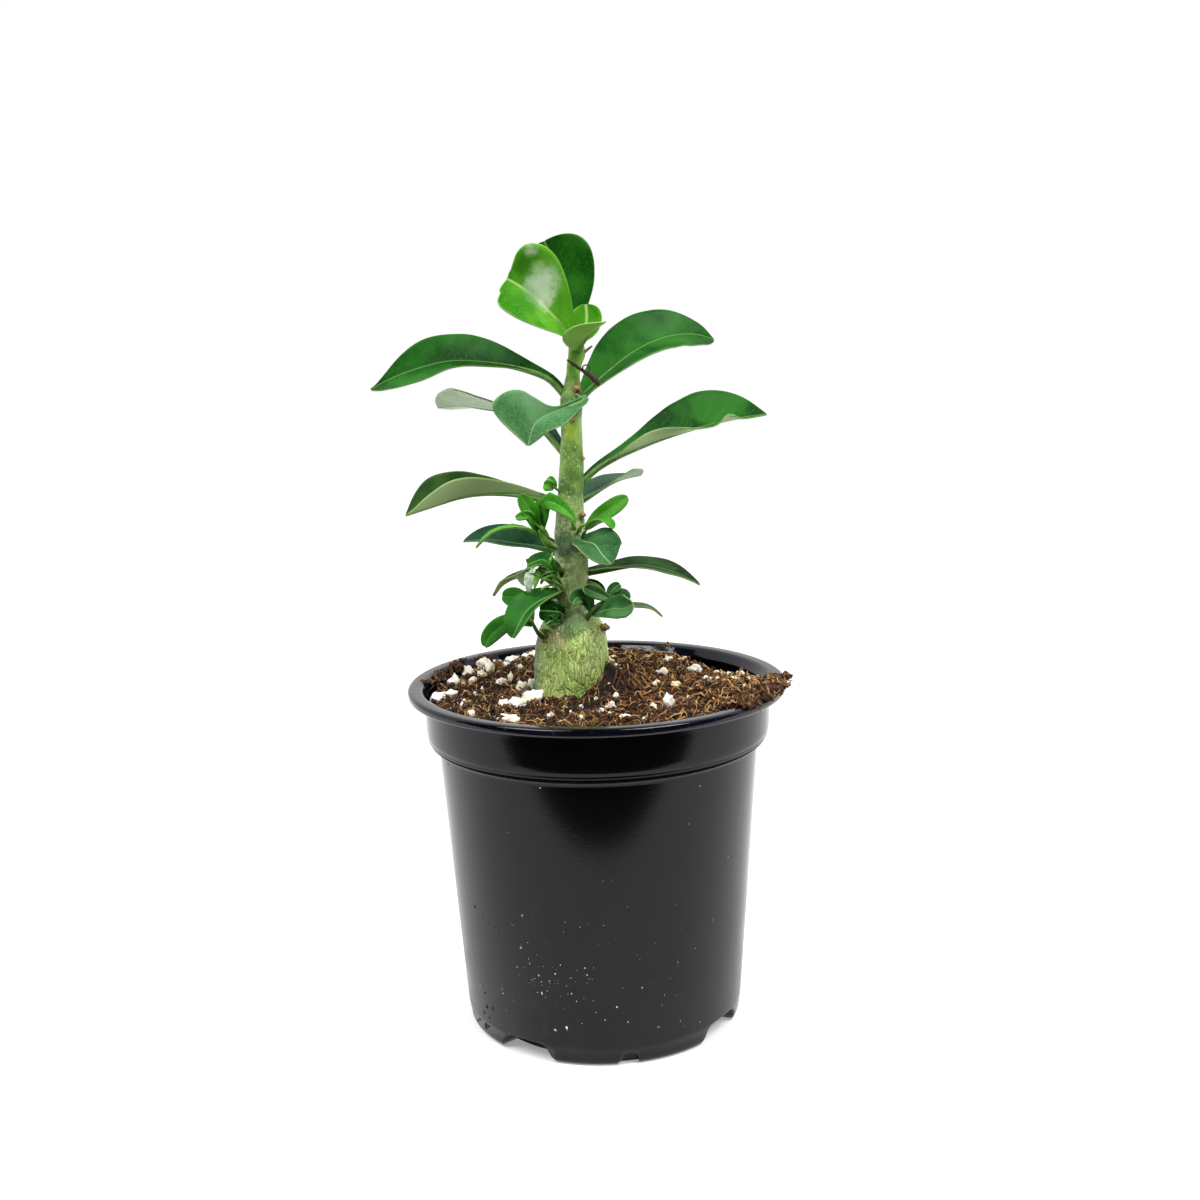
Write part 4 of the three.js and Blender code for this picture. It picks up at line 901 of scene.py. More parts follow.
def leaf_top(name, deep, light, vein, roughness=0.34, mottle=0.5, vein_share=0.06, rib_scale=1.0,
             rib_share=0.75, painted_highlights_and_patches=()):
    """The glossy upper side: mottled green with a pale midrib, faint side veins and a pale edge, with any
    painted highlights and patches it is given.
    """
    s = Shader(name)
    across = s.math("ABSOLUTE", s.attribute("across"))
    along = s.attribute("along")
    reach = s.attribute("reach")
    colour = s.mix(s.clouds(70, 0.35, 0.65, 2), deep, light)
    colour = s.over(colour, light, s.clouds(1300, 0.42, 0.7, 4, 0.8), mottle)
    slant = s.math("SUBTRACT", along, s.times(across, 0.8))
    wobble = s.times(s.noise(110, 3), 9)
    stripe = s.math("SINE", s.times(s.plus(slant, wobble), 1.6))
    side_vein = s.times(s.remap(stripe, 0.8, 1.0), s.remap(reach, 0.9, 0.4))
    colour = s.over(colour, vein, side_vein, vein_share)
    rib_width = s.remap(along, 0, 50, 0.5 * rib_scale, 0.26 * rib_scale)
    rib = s.remap(s.math("DIVIDE", across, rib_width), 1.0, 0.45)
    colour = s.over(colour, vein, rib, rib_share)
    colour = s.over(colour, vein, s.remap(reach, 0.97, 1.0), 0.3)
    # Painted highlights, and on the tip leaf darker green patches, laid over the colour.
    colour = s.painted(colour, painted_highlights_and_patches, 0.35, 0.55)
    height = s.plus(s.noise(350, 3), s.times(side_vein, -0.3))
    return s.finish(colour, roughness, s.bump(height, 0.3, 0.0003), specular=0.2, ior=1.25)


def leaf_under(name, pale, vein):
    """The dull underside, paler than the upper side."""
    s = Shader(name)
    across = s.math("ABSOLUTE", s.attribute("across"))
    colour = s.over(pale, vein, s.clouds(90, 0.3, 0.7), 0.3)
    colour = s.over(colour, vein, s.remap(across, 0.6, 0.3), 0.5)
    return s.finish(colour, 0.6, s.bump(s.noise(500, 3), 0.3, 0.0003), specular=0.2, ior=1.36)


def leaf_edge(name, colour):
    """The thin pale edge round a blade."""
    s = Shader(name)
    shade = s.mix(s.clouds(300, 0.3, 0.8, 2), colour, tone(136, 170, 96))
    return s.finish(shade, 0.45, specular=0.25)


def leaf_finishes(looks):
    """For each look its upper side, underside and edge."""
    finishes = {}
    for name, look in looks.items():
        deep, light, vein, pale, edge = (tone(*tint) for tint in look["tones"])
        upper = {key: value for key, value in look.items() if key != "tones"}
        finishes[name] = (leaf_top(f"{name}_top", deep, light, vein, **upper),
                          leaf_under(f"{name}_under", pale, vein), leaf_edge(f"{name}_edge", edge))
    return finishes


def large_leaves():
    finishes = leaf_finishes(LEAF_LOOKS)
    for name, leaf in LEAVES.items():
        look = finishes[leaf.get("look", "leaf_deep")]
        made = piece(f"{name}_blade", blade({**LARGE_LEAF, **leaf}), look, [name])
        thickened(made, BLADE_THICKNESS)


def leaf_stalks():
    """The rounded stalk and midrib under each large leaf, thick at the stem and thin at the tip."""
    bm = bmesh.new()
    for leaf in LEAVES.values():
        line = Line(leaf["rib"])
        faces = facings(leaf)
        points = []
        for k in range(8):
            share = 0.8 * k / 7
            centre, along = line.at(share)
            up = faces[0].lerp(faces[-1], share)
            up = (up - along * up.dot(along)).normalized()
            points.append(centre - up * (0.75 * (1 - share) + 0.25))
        thick = 0.5 if "stalk" in leaf else 1.0
        added(bm, rod(points, [thick, thick * 0.85, thick * 0.5, thick * 0.3, 0.15], 10, 24))
    s = Shader("leaf_stalk")
    colour = s.mix(s.clouds(250, 0.35, 0.7), tone(84, 128, 56), tone(128, 166, 88))
    piece("leaf_stalks", bm, [s.finish(colour, 0.45, specular=0.3)])


def shoots():
    """Leafy side shoots: twigs and small leaves."""
    finishes = leaf_finishes(SHOOT_LOOKS)
    s = Shader("young_twig")
    green = s.mix(s.clouds(500, 0.35, 0.7), tone(70, 108, 44), tone(120, 156, 78))
    twig = s.finish(green, 0.5)
    for name, shoot in SHOOTS.items():
        blades = bmesh.new()
        for leaf in shoot["leaves"]:
            added(blades, blade({**SMALL_LEAF, **leaf}))
        look = finishes[shoot.get("look", "young")]
        made = piece(f"{name}_blades", blades, look, [name])
        thickened(made, YOUNG_THICKNESS)
        start, end = shoot["thick"]
        bm = rod(shoot["twig"], [start * 0.75, end * 0.6], 10, 12)
        piece(f"{name}_twig", bm, [twig])


# Stem


def stem_finish():
    """Green skin: wavy upright fissures on the swollen base, mottled with pale dots above, with painted
    shade down the left flank and painted shadows and light in patches.
    """
    s = Shader("stem_skin")
    side, _, height = s.axes()
    low = s.remap(height, 0.1265, 0.1205)
    net = s.cells(760, s.warped(600, 0.0009, 0.17), "DISTANCE_TO_EDGE")
    fine_net = s.cells(1250, s.warped(900, 0.0007, 0.2), "DISTANCE_TO_EDGE")
    crack = s.times(s.remap(net, 0.115, 0.02), s.clouds(520, 0.4, 0.56, 3, 0.6))
    crack = s.math("MAXIMUM", crack, s.times(s.remap(fine_net, 0.12, 0.02), 0.55))
    crack = s.times(crack, low)
    base = s.mix(s.clouds(160, 0.35, 0.65, 4, 0.6), tone(202, 234, 126), tone(228, 252, 154))
    base = s.over(base, tone(232, 242, 176), s.remap(net, 0.2, 0.4), 0.32)
    upper = s.mix(s.clouds(200, 0.35, 0.65, 4, 0.65), tone(84, 124, 58), tone(140, 172, 84))
    mottled = s.mix(s.clouds(900, 0.4, 0.62, 5, 0.75), tone(116, 150, 88), tone(224, 234, 174))
    upper = s.over(upper, mottled, s.remap(height, 0.165, 0.150), 0.8)
    colour = s.mix(low, upper, base)
    colour = s.over(colour, tone(92, 118, 58), crack, 0.68)
    pit = s.remap(s.cells(420, s.place((1, 1, 0.6))), 0.16, 0.08)
    colour = s.over(colour, tone(30, 44, 30), s.times(pit, s.clouds(150, 0.5, 0.62, 2)), low)
    dot = s.remap(s.cells(1150, s.place((1, 1, 0.6))), 0.3, 0.14)
    dot = s.times(dot, s.remap(height, 0.122, 0.13))
    colour = s.over(colour, tone(206, 218, 170), dot, 0.6)
    # Painted shade: from 15 mm left of the pot's axis the skin on the left flank turns a dull grey-green.
    colour = s.over(colour, tone(120, 142, 122), s.remap(side, -0.0150, -0.0185), 0.6)
    # Painted shadows of the leaves and painted light on the right side, among patches of the skin's own
    # tones.
    colour = s.painted(colour, STEM_PATCHES_AND_PAINTED_LIGHT, 0.3, 0.45)
    rise = s.math("SUBTRACT", s.noise(700, 4, 0.6, s.place((1, 1, 0.4))), s.times(crack, 1.2))
    rise = s.plus(rise, s.times(dot, 0.35))
    rise = s.plus(rise, s.times(s.remap(net, 0.0, 0.4), low))
    return s.finish(colour, 0.4, s.bump(rise, 0.7, 0.0005), specular=0.35)


def stem_place(turn, share):
    """A point of the stem's skin. Rows are closest on the swollen base."""
    height = smoothed(STEM_ROWS, share)[0]
    centre, across, level = smoothed(STEM, height)
    angle = 2 * math.pi * turn
    radius = across / 2 * (1 + STEM_BULGE * math.sin(3 * angle + level * STEM_TWIST))
    out = Vector((math.cos(angle), math.sin(angle), 0))
    skin = Vector((centre, 0, height)) + out * radius
    fissured = min(max((CAUDEX_TOP - height) / 3, 0), 1)
    ridge = abs(noise.noise(Vector((skin.x * 0.75, skin.y * 0.75, height * 0.2))))
    dent = 0.07 * max(0, 1 - ridge / 0.16) * fissured
    swell = 0.25 * noise.noise(skin / 4)
    return skin + out * (swell - dent)


def stem():
    """The stem, from its short root in the soil to the growing tip."""
    bm = wrapped(STEM_AROUND, STEM_ALONG, stem_place)
    piece("stem_skin", bm, [stem_finish()], ["stem"])


def scars():
    """Corky scars and dried stubs left by fallen leaves and shoots."""
    bm = bmesh.new()
    for k, (place, size) in enumerate(SCARS):
        lumps(bm, place, size, k + 3, 0.35, 3)
    s = Shader("scar_cork")
    grain = s.noise(900, 4, 0.7)
    colour = s.ramp(grain, [(0.3, (70, 48, 24)), (0.5, (160, 128, 70)), (0.7, (196, 176, 112))])
    piece("stem_scars", bm, [s.finish(colour, 0.8, s.bump(grain, 0.8, 0.0006))])


def spur():
    """A small dried spur near the tip, ochre at its base and dark green at its end."""
    points = [(-3.2, 0, 201.5), (-1, -0.5, 203), (0.2, -0.8, 203.9), (1.2, -1, 204.6)]
    bm = rod(points, [0.6, 0.5, 0.42, 0.2], 10, 16)
    s = Shader("spur_skin")
    colour = s.mix(s.remap(s.axes()[0], -0.0008, 0.0006), tone(150, 138, 66), tone(36, 66, 40))
    piece("stem_spur", bm, [s.finish(colour, 0.6, s.bump(s.noise(900), 0.5, 0.0003))])


def dry_twig():
    """The dried flower stalk against the stem, with a small loop of dry fibre."""
    stalk = [(-6.2, -2.2, 200.8), (-4.2, -3.5, 199.4), (-1.2, -3.6, 197.3), (1.2, -3.4, 195.6),
             (3, -3.1, 193.4)]
    loop = [(-1.8, -3.9, 197.6), (-1.6, -4.4, 198.9), (-0.4, -4.6, 199.3), (0.3, -4.4, 198.4),
            (-0.2, -4.2, 197.2), (-1.1, -4.0, 197.0)]
    bm = rod(stalk, [0.25, 0.5, 0.5, 0.7, 0.95, 0.6], 10, 30)
    added(bm, rod(loop, [0.22, 0.2, 0.16], 6, 24))
    s = Shader("dry_stalk")
    brown = s.mix(s.clouds(900, 0.35, 0.7, 4, 0.7), tone(34, 22, 18), tone(74, 52, 42))
    colour = s.mix(s.remap(s.axes()[0], -0.0046, -0.0060), brown, tone(96, 34, 32))
    finish = s.finish(colour, 0.7, s.bump(s.noise(1200, 4), 0.7, 0.0004))
    piece("dry_twig_bark", bm, [finish], ["dry_twig"])


def sprouts():
    """Tiny fleshy sprouts and leaf stumps that crowd the lower part of the stem."""
    bm = bmesh.new()
    for base_pixel, tip_pixel, width, depth, tip_depth in SPROUTS:
        base = at_depth(*base_pixel, depth)
        tip = at_depth(*tip_pixel, tip_depth)
        middle = base.lerp(tip, 0.5) + Vector((0, -0.4, 0.5))
        wide = width / SPROUT_PIXELS_PER_MM
        added(bm, rod([base, middle, tip], [wide * 0.5, wide * 0.9, wide, wide * 0.7, 0.06], 8, 12, 0.5))
    s = Shader("sprout_skin")
    colour = s.ramp(s.noise(160, 4, 0.7), [(0.35, (22, 66, 16)), (0.5, (88, 150, 46)),
                                           (0.65, (160, 196, 92))])
    finish = s.finish(colour, 0.4, s.bump(s.noise(900, 3), 0.4, 0.0003), specular=0.3)
    piece("stem_sprouts", bm, [finish])


def pale_leaf():
    """A pale rolled leaf that hangs between the lower shoots."""
    bm = rod([at_depth(*spot) for spot in PALE_LEAF], [0.5, 1.5, 1.5, 1.1, 0.3], 8, 12, 0.35)
    s = Shader("pale_leaf_skin")
    colour = s.mix(s.clouds(260, 0.35, 0.65, 4, 0.7), tone(120, 164, 100), tone(232, 244, 224))
    piece("pale_leaf", bm, [s.finish(colour, 0.3, specular=0.5)])


# Soil


def soil_level(x, y):
    """The broad shape of the soil, without its crumbs."""
    level = SOIL_LEVEL
    for hump in HUMPS:
        away = ((x - hump["x"]) ** 2 + (y - hump["y"]) ** 2) / (2 * hump["spread"] ** 2)
        level += hump["rise"] * math.exp(-away)
    from_bank = math.hypot(x - BANK["x"], y - BANK["y"]) / BANK["spread"]
    return level + BANK["rise"] / (1 + from_bank ** 4)


def ground(x, y):
    """The soil's surface: crumbly, with small dark holes."""
    spot = Vector((x, y, 0))
    rough = 1.6 * noise.noise(spot / 4.1) + 1.2 * noise.noise(spot / 1.9 + Vector((9, 4, 2)))
    rough += 0.7 * noise.noise(spot / 0.9 + Vector((3, 7, 5)))
    for hole in HOLES:
        away = (x - hole["x"]) ** 2 + (y - hole["y"]) ** 2
        rough -= hole["depth"] * math.exp(-away / hole["spread"] ** 2)
    edge = min(1.0, max(0.0, (SOIL_RADIUS - math.hypot(x, y)) / 2))
    return soil_level(x, y) + rough * edge


def soil_finish():
    """Dark peat with paler crumbs."""
    s = Shader("soil_peat")
    colour = s.ramp(s.noise(420, 5, 0.7), [(0.3, (5, 3, 2)), (0.5, (22, 13, 7)), (0.62, (62, 40, 21)),
                                           (0.75, (124, 88, 52))])
    return s.finish(colour, 0.95, s.bump(s.noise(1100, 5, 0.7), 1.0, 0.0012))


def soil():
    """The soil: a round sheet over the top, with sides down into the pot."""
    bm = sheet_of(SOIL_GRID, SOIL_GRID)
    for vert in bm.verts:
        a = 2 * vert.co.x - 1
        b = 2 * vert.co.y - 1
        x = SOIL_RADIUS * a * math.sqrt(1 - b * b / 2)
        y = SOIL_RADIUS * b * math.sqrt(1 - a * a / 2)
        vert.co = (x, y, ground(x, y))
    edges = [edge for edge in bm.edges if edge.is_boundary]
    for radius, height in SOIL_SIDES:
        made = bmesh.ops.extrude_edge_only(bm, edges=edges)["geom"]
        edges = [g for g in made if isinstance(g, bmesh.types.BMEdge)]
        for vert in [g for g in made if isinstance(g, bmesh.types.BMVert)]:
            flat = Vector((vert.co.x, vert.co.y)).normalized() * radius
            vert.co = (flat.x, flat.y, height)
    closed(bm)
    piece("soil_bed", bm, [soil_finish()], ["soil"])


def clear_of_stem(x, y, margin):
    """Whether a place on the bed is off the swollen base and out of the deep holes beside it."""
    if any(math.hypot(x - hole["x"], y - hole["y"]) < hole["spread"] for hole in DEEP_HOLES):
        return False
    return math.hypot(x - CAUDEX_SIDE, y) > CAUDEX_RADIUS + margin


def strewn(rng, margin):
    """A place on the bed by chance, evenly over its area."""
    angle = rng.uniform(0, 2 * math.pi)
    return polar(angle, (SOIL_RADIUS - margin) * math.sqrt(rng.random()))


def strand_path(rng, length, lift):
    """One strand's points: it winds over the ground and turns back at the stem and the wall."""
    x, y = strewn(rng, 0.5)
    while not clear_of_stem(x, y, 0.5):
        x, y = strewn(rng, 0.5)
    heading = rng.uniform(0, 2 * math.pi)
    step = length * rng.uniform(0.5, 1.5) / STRAND_STEPS
    turning = rng.uniform(-0.6, 0.6)
    rise = lift * rng.uniform(0.3, 1.4)
    points = []
    for k in range(STRAND_STEPS + 1):
        arch = rise * math.sin(math.pi * k / STRAND_STEPS)
        points.append(Vector((x, y, ground(x, y) - 0.15 + arch)))
        heading += turning + rng.uniform(-0.5, 0.5)
        new_x, new_y = x + step * math.cos(heading), y + step * math.sin(heading)
        if math.hypot(new_x, new_y) < SOIL_RADIUS and clear_of_stem(new_x, new_y, 0.2):
            x, y = new_x, new_y
        else:
            heading += 1.7
            x += 0.05 * math.cos(heading)
            y += 0.05 * math.sin(heading)
    return points


def strands(name, look):
    """Curly fibres lying on the soil: one thin rod copied many times, each bent its own way."""
    rng = random.Random(look["seed"])
    bm = wrapped(3, STRAND_STEPS, lambda turn, share: Vector((*polar(2 * math.pi * turn, 1), share)))
    tag = bm.verts.layers.int.new("strand")
    tint = bm.verts.layers.float.new("tint")
    copies = 1
    while copies < look["count"]:
        made = bmesh.ops.duplicate(bm, geom=bm.verts[:] + bm.edges[:] + bm.faces[:])["geom"]
        for vert in [g for g in made if isinstance(g, bmesh.types.BMVert)]:
            vert[tag] += copies
        copies *= 2
    paths = [strand_path(rng, look["length"], look["lift"]) for _ in range(copies)]
    tints = [rng.random() ** (1.7 - path[0].x / 50) for path in paths]
    thickness = [look["radius"] * rng.uniform(0.6, 1.4) for _ in range(copies)]
    for vert in bm.verts:
        strand = vert[tag]
        share = vert.co.z
        points = paths[strand]
        k = round(share * STRAND_STEPS)
        ahead = points[min(k + 1, STRAND_STEPS)] - points[max(k - 1, 0)]
        side = Vector((-ahead.y, ahead.x, 0)).normalized()
        over = ahead.normalized().cross(side)
        thick = thickness[strand] * (1 - 0.6 * abs(2 * share - 1))
        vert[tint] = tints[strand]
        vert.co = points[k] + (side * vert.co.x + over * vert.co.y) * thick
    outward(bm)
    s = Shader(f"{name}_fibre")
    colour = s.ramp(s.attribute("tint"), look["tones"])
    colour = s.mix(s.clouds(700, 0.45, 0.8), colour, tone(50, 30, 16))
    piece(name, bm, [s.finish(colour, 0.85)])


def camera_axes():
    """The camera's place and its right, up and forward directions."""
    place = Vector((CAMERA_SIDE, -CAMERA_DISTANCE * math.cos(CAMERA_PITCH),
                    TARGET_HEIGHT + CAMERA_DISTANCE * math.sin(CAMERA_PITCH)))
    forward = Vector((0, math.cos(CAMERA_PITCH), -math.sin(CAMERA_PITCH)))
    level = Vector((1, 0, 0))
    raised = level.cross(forward)
    right = level * math.cos(CAMERA_ROLL) + raised * math.sin(CAMERA_ROLL)
    up = raised * math.cos(CAMERA_ROLL) - level * math.sin(CAMERA_ROLL)
    return place, right, up, forward


def sight(px, py):
    """The camera's place and the ray through a pixel."""
    place, right, up, forward = camera_axes()
    middle = IMAGE_SIZE / 2
    return place, forward + right * (px - middle) / FOCAL_PIXELS - up * (py - middle) / FOCAL_PIXELS


def at_depth(px, py, depth):
    """The point seen at a pixel this far behind the pot's axis."""
    place, ray = sight(px, py)
    return place + ray * ((depth - place.y) / ray.y)


def on_soil(px, py, lift):
    """The point this far above the soil that is seen at a pixel, and the pixels to a millimetre there."""
    place, ray = sight(px, py)
    height = SOIL_LEVEL + 1
    for _ in range(14):
        spot = place + ray * ((height - place.z) / ray.z)
        height += 0.4 * (ground(spot.x, spot.y) + lift - height)
    beyond = math.hypot(spot.x, spot.y) / (SOIL_RADIUS - 1.5)
    if beyond > 1:
        spot.x, spot.y = spot.x / beyond, spot.y / beyond
    return spot, FOCAL_PIXELS / (spot - place).dot(camera_axes()[3])


def on_wall(px, py):
    """The point of the pot's wall that is seen at a pixel. The wall widens evenly upward."""
    place, ray = sight(px, py)
    radius = WALL_START + WALL_SLOPE * place.z
    a = ray.x ** 2 + ray.y ** 2 - (WALL_SLOPE * ray.z) ** 2
    b = 2 * (place.x * ray.x + place.y * ray.y - WALL_SLOPE * ray.z * radius)
    c = place.x ** 2 + place.y ** 2 - radius ** 2
    return place + ray * ((-b - math.sqrt(b * b - 4 * a * c)) / (2 * a))


def grit_finish():
    """Chalky white, creamier at the right, with a little stain."""
    s = Shader("perlite")
    creamy = s.times(s.clouds(150, 0.42, 0.6, 2), s.remap(s.axes()[0], -0.03, 0.02, 0.5, 1))
    cream = s.mix(creamy, tone(255, 253, 247), tone(248, 228, 178))
    colour = s.over(cream, tone(190, 158, 120), s.clouds(800, 0.52, 0.75, 4, 0.7), 0.4)
    return s.finish(colour, 0.9, s.bump(s.noise(1200, 4), 0.6, 0.0005))


def grit():
    """Perlite: the lumps that show in the photograph, and small crumbs strewn by chance."""
    bm = bmesh.new()
    for k, (px, py, width, height) in enumerate(GRIT):
        spot, scale = on_soil(px, py + 0.1 * height, 0.06 * height)
        across, tall = width / scale * 1.05, height / scale * 1.3
        toward = (camera_axes()[0] - spot).normalized()
        while math.hypot(spot.x - CAUDEX_SIDE, spot.y) < CAUDEX_RADIUS - 0.5 + across / 2 and spot.y < 0:
            spot += toward * 0.4
        lumps(bm, spot, (across, (across + tall) / 2, tall), k + 1, 0.3, 3)
    rng = random.Random(31)
    count = 0
    while count < SMALL_GRIT:
        x, y = strewn(rng, 1)
        if not clear_of_stem(x, y, 1):
            continue
        size = 0.5 + 1.3 * rng.random() ** 3
        shape = [size * rng.uniform(0.7, 1.3) for _ in range(3)]
        lumps(bm, (x, y, ground(x, y) + 0.2 * size), shape, count + 77, 0.3, 1)
        count += 1
    outward(bm)
    piece("soil_perlite", bm, [grit_finish()])


def heap_spot(rng, low, high):
    """A direction and a distance from the axis by chance, within the heap over the rim."""
    angle = math.radians(HEAP["turn"] + HEAP["half_turn"] * rng.uniform(low, -low))
    return angle, HEAP["radius"] + HEAP["half_width"] * rng.uniform(-1, high)


def heap_top(angle, away):
    """How high the soil is heaped over the rim at the right."""
    round_share = (math.degrees(angle) - HEAP["turn"]) / HEAP["half_turn"]
    out_share = (away - HEAP["radius"]) / HEAP["half_width"]
    return HEAP["rise"] * max(0, 1 - round_share ** 2) * max(0, 1 - out_share ** 2) ** 0.5


def crumb_finish():
    """Crumbs of peat, from nearly black to straw."""
    s = Shader("crumb_peat")
    colour = s.ramp(s.noise(600, 4, 0.7), [(0.34, (12, 7, 4)), (0.48, (58, 33, 15)),
                                           (0.58, (118, 76, 38)), (0.68, (190, 142, 84))])
    return s.finish(colour, 0.95, s.bump(s.noise(1100, 4), 1.0, 0.001))


def crumbs():
    """Crumbs of peat: heaped over the rim at the right, up to it at the left and strewn over the bed."""
    rng = random.Random(5)
    bm = bmesh.new()
    for k in range(HEAP_CRUMBS + LEFT_CRUMBS + BED_CRUMBS):
        heaped = k < HEAP_CRUMBS
        if heaped:
            angle, away = heap_spot(rng, -1, 1)
            height = POT_HEIGHT - 0.4 + heap_top(angle, away) * rng.uniform(0.2, 1)
            x, y = polar(angle, away)
        elif k < HEAP_CRUMBS + LEFT_CRUMBS:
            angle = math.radians(rng.uniform(*LEFT_EDGE["turns"]))
            away = rng.uniform(*LEFT_EDGE["reach"])
            height = POT_HEIGHT - 1.0 if away > LIP_INNER else POT_HEIGHT - rng.uniform(1, 2)
            x, y = polar(angle, away)
        else:
            x, y = strewn(rng, 1)
            height = ground(x, y)
        if not clear_of_stem(x, y, 0.8):
            continue
        size = 0.8 + 1.7 * rng.random() ** 2
        if heaped and away > 51:
            height = max(height, POT_HEIGHT + 0.2 * size)
        shape = [size * rng.uniform(0.6, 1.4) for _ in range(3)]
        lumps(bm, (x, y, height + 0.1 * size), shape, k + 400, 0.6, 2)
    outward(bm)
    piece("soil_crumbs", bm, [crumb_finish()])


def heap_fibres():
    """Curly fibres in the soil heaped over the rim at the right, and a tuft on the rim at the back."""
    rng = random.Random(17)
    bm = bmesh.new()
    for k in range(HEAP_FIBRES + TUFT_FIBRES):
        heaped = k < HEAP_FIBRES
        if heaped:
            angle, away = heap_spot(rng, -0.95, 0.95)
            height = POT_HEIGHT + heap_top(angle, away) * rng.uniform(0.5, 1.05)
            start = Vector((*polar(angle, away), max(POT_HEIGHT + 0.2, height)))
            reach = 1.0
        else:
            x = TUFT["x"] + TUFT["spread_x"] * rng.uniform(-1, 1)
            y = TUFT["y"] + TUFT["spread_y"] * rng.uniform(-1, 1)
            start = Vector((x, y, POT_HEIGHT + 0.05))
            reach = 0.9
        points = [start]
        step = Vector((rng.uniform(-1, 1), rng.uniform(-1, 1), rng.uniform(-0.4, 0.6))) * reach
        if not heaped:
            step = Vector((step.x, -abs(step.y), -0.2))
        for _ in range(3):
            turn = Vector((rng.uniform(-1, 1), rng.uniform(-1, 1), rng.uniform(-0.5, 0.5)))
            step = (step + turn * 0.9 * reach).normalized() * reach * rng.uniform(0.7, 1.3)
            points.append(points[-1] + step)
        added(bm, rod(points, [0.14, rng.uniform(0.14, 0.26), 0.12], 4, 8))
    s = Shader("heap_fibre")
    colour = s.ramp(s.noise(160, 4, 0.7), [(0.35, (70, 44, 24)), (0.5, (140, 100, 58)),
                                           (0.65, (206, 168, 112))])
    piece("soil_heap_fibres", bm, [s.finish(colour, 0.85)])


# Pot


def notch_cutter(turn, inner, outline):
    """A curved block that cuts a drain notch into the foot."""

    def place(around, share):
        at = share * (len(outline) - 1)
        k = min(int(at), len(outline) - 2)
        angle, top = Vector(outline[k]).lerp(Vector(outline[k + 1]), at - k)
        corner = round(around * 4) % 4
        radius = inner if corner in (0, 3) else NOTCH_OUTER
        height = NOTCH_BOTTOM if corner < 2 else top
        return Vector((*polar(math.radians(turn + angle), radius), height))

    return wrapped(4, 4 * (len(outline) - 1), place)


def pot_finish():
    """Satin black plastic, paler and rougher in cloudy patches towards the bottom, with brown scuffs low
    down at the left.
    """
    s = Shader("pot_plastic")
    side, _, height = s.axes()
    low = s.remap(height, 0.045, 0.004)
    left = s.remap(side, 0.02, -0.03)
    colour = s.mix(s.clouds(35, 0.35, 0.7, 4, 0.6), tone(3, 3, 4), tone(6, 6, 6))
    # Paler and rougher in cloudy patches towards the bottom.
    paler_low = s.times(s.remap(height, 0.075, 0.01), s.clouds(50, 0.3, 0.7))
    colour = s.over(colour, tone(24, 23, 20), paler_low, 0.35)
    scuff = s.times(s.clouds(130, 0.5, 0.7, 5, 0.7), s.times(low, left))
    colour = s.over(colour, tone(84, 64, 54), scuff, 0.22)
    rough = s.plus(0.14, s.times(paler_low, 0.14))
    return s.finish(colour, rough, s.bump(s.noise(1500, 2), 0.08, 0.0002), specular=0.24)


def lip_finish():
    """The rolled rim: glossier than the wall, its black tinted blue as a painted sheen, with a few pale
    bluish specks of painted highlight.
    """
    s = Shader("pot_lip")
    # Painted sheen: the rim's black is tinted blue.
    colour = s.mix(s.clouds(60, 0.35, 0.7), tone(6, 6, 14), tone(14, 14, 26))
    # Painted highlights: small pale bluish specks over the rim.
    colour = s.over(colour, tone(70, 74, 96), s.clouds(900, 0.58, 0.72, 4, 0.7), 0.3)
    return s.finish(colour, 0.06, s.bump(s.noise(400, 3), 0.12, 0.0003), specular=0.5, ior=1.4)


def inside_finish():
    """The wall above the soil, inside: nearly black, with a faint blue sheen painted into its colour and
    paler dusty patches clinging to it.
    """
    s = Shader("pot_inside")
    # Painted sheen: the near black is tinted blue.
    colour = s.mix(s.clouds(90, 0.5, 0.75, 4, 0.65), tone(3, 3, 8), tone(16, 16, 22))
    return s.finish(colour, 0.35, s.bump(s.noise(600, 3), 0.2, 0.0003), specular=0.05, ior=1.12)


def pale_speck_finish():
    s = Shader("speck_pale")
    colour = s.ramp(s.noise(300, 2), [(0.35, (96, 72, 58)), (0.47, (150, 128, 108)),
                                      (0.56, (224, 220, 210))])
    return s.finish(colour, 0.9)


def dirt_finish():
    s = Shader("speck_dark")
    return s.finish(s.mix(s.noise(500, 3), tone(2, 2, 2), tone(20, 14, 10)), 0.95)


def specks():
    """Specks stuck to the wall: single ones, and a scatter of small ones low down at the left."""
    rng = random.Random(9)
    pale = list(PALE_SPECKS)
    for scatter, draw in ((CLOSE_SCATTER, rng.gauss), (WIDE_SCATTER, rng.uniform)):
        for _ in range(SCATTER_COUNT):
            pale.append((draw(*scatter["px"]), draw(*scatter["py"]), rng.uniform(*scatter["size"])))
    for name, marks, finish in (("pot_specks", pale, pale_speck_finish()),
                                ("pot_dirt", DARK_SPECKS, dirt_finish())):
        bm = bmesh.new()
        for k, (px, py, size) in enumerate(marks):
            spot = on_wall(px, min(py, FOOT_PIXEL))
            across = size / SPECK_PIXELS_PER_MM
            shape = (across * rng.uniform(0.5, 1.3), 0.3, across * rng.uniform(0.6, 1.7))
            made = lumps(bm, (0, 0, 0), shape, k + 900, 0.4, 1)
            turn = Matrix.Rotation(math.atan2(spot.x, -spot.y), 3, "Z")
            for vert in made:
                vert.co = turn @ vert.co + spot
        outward(bm)
        piece(name, bm, [finish])


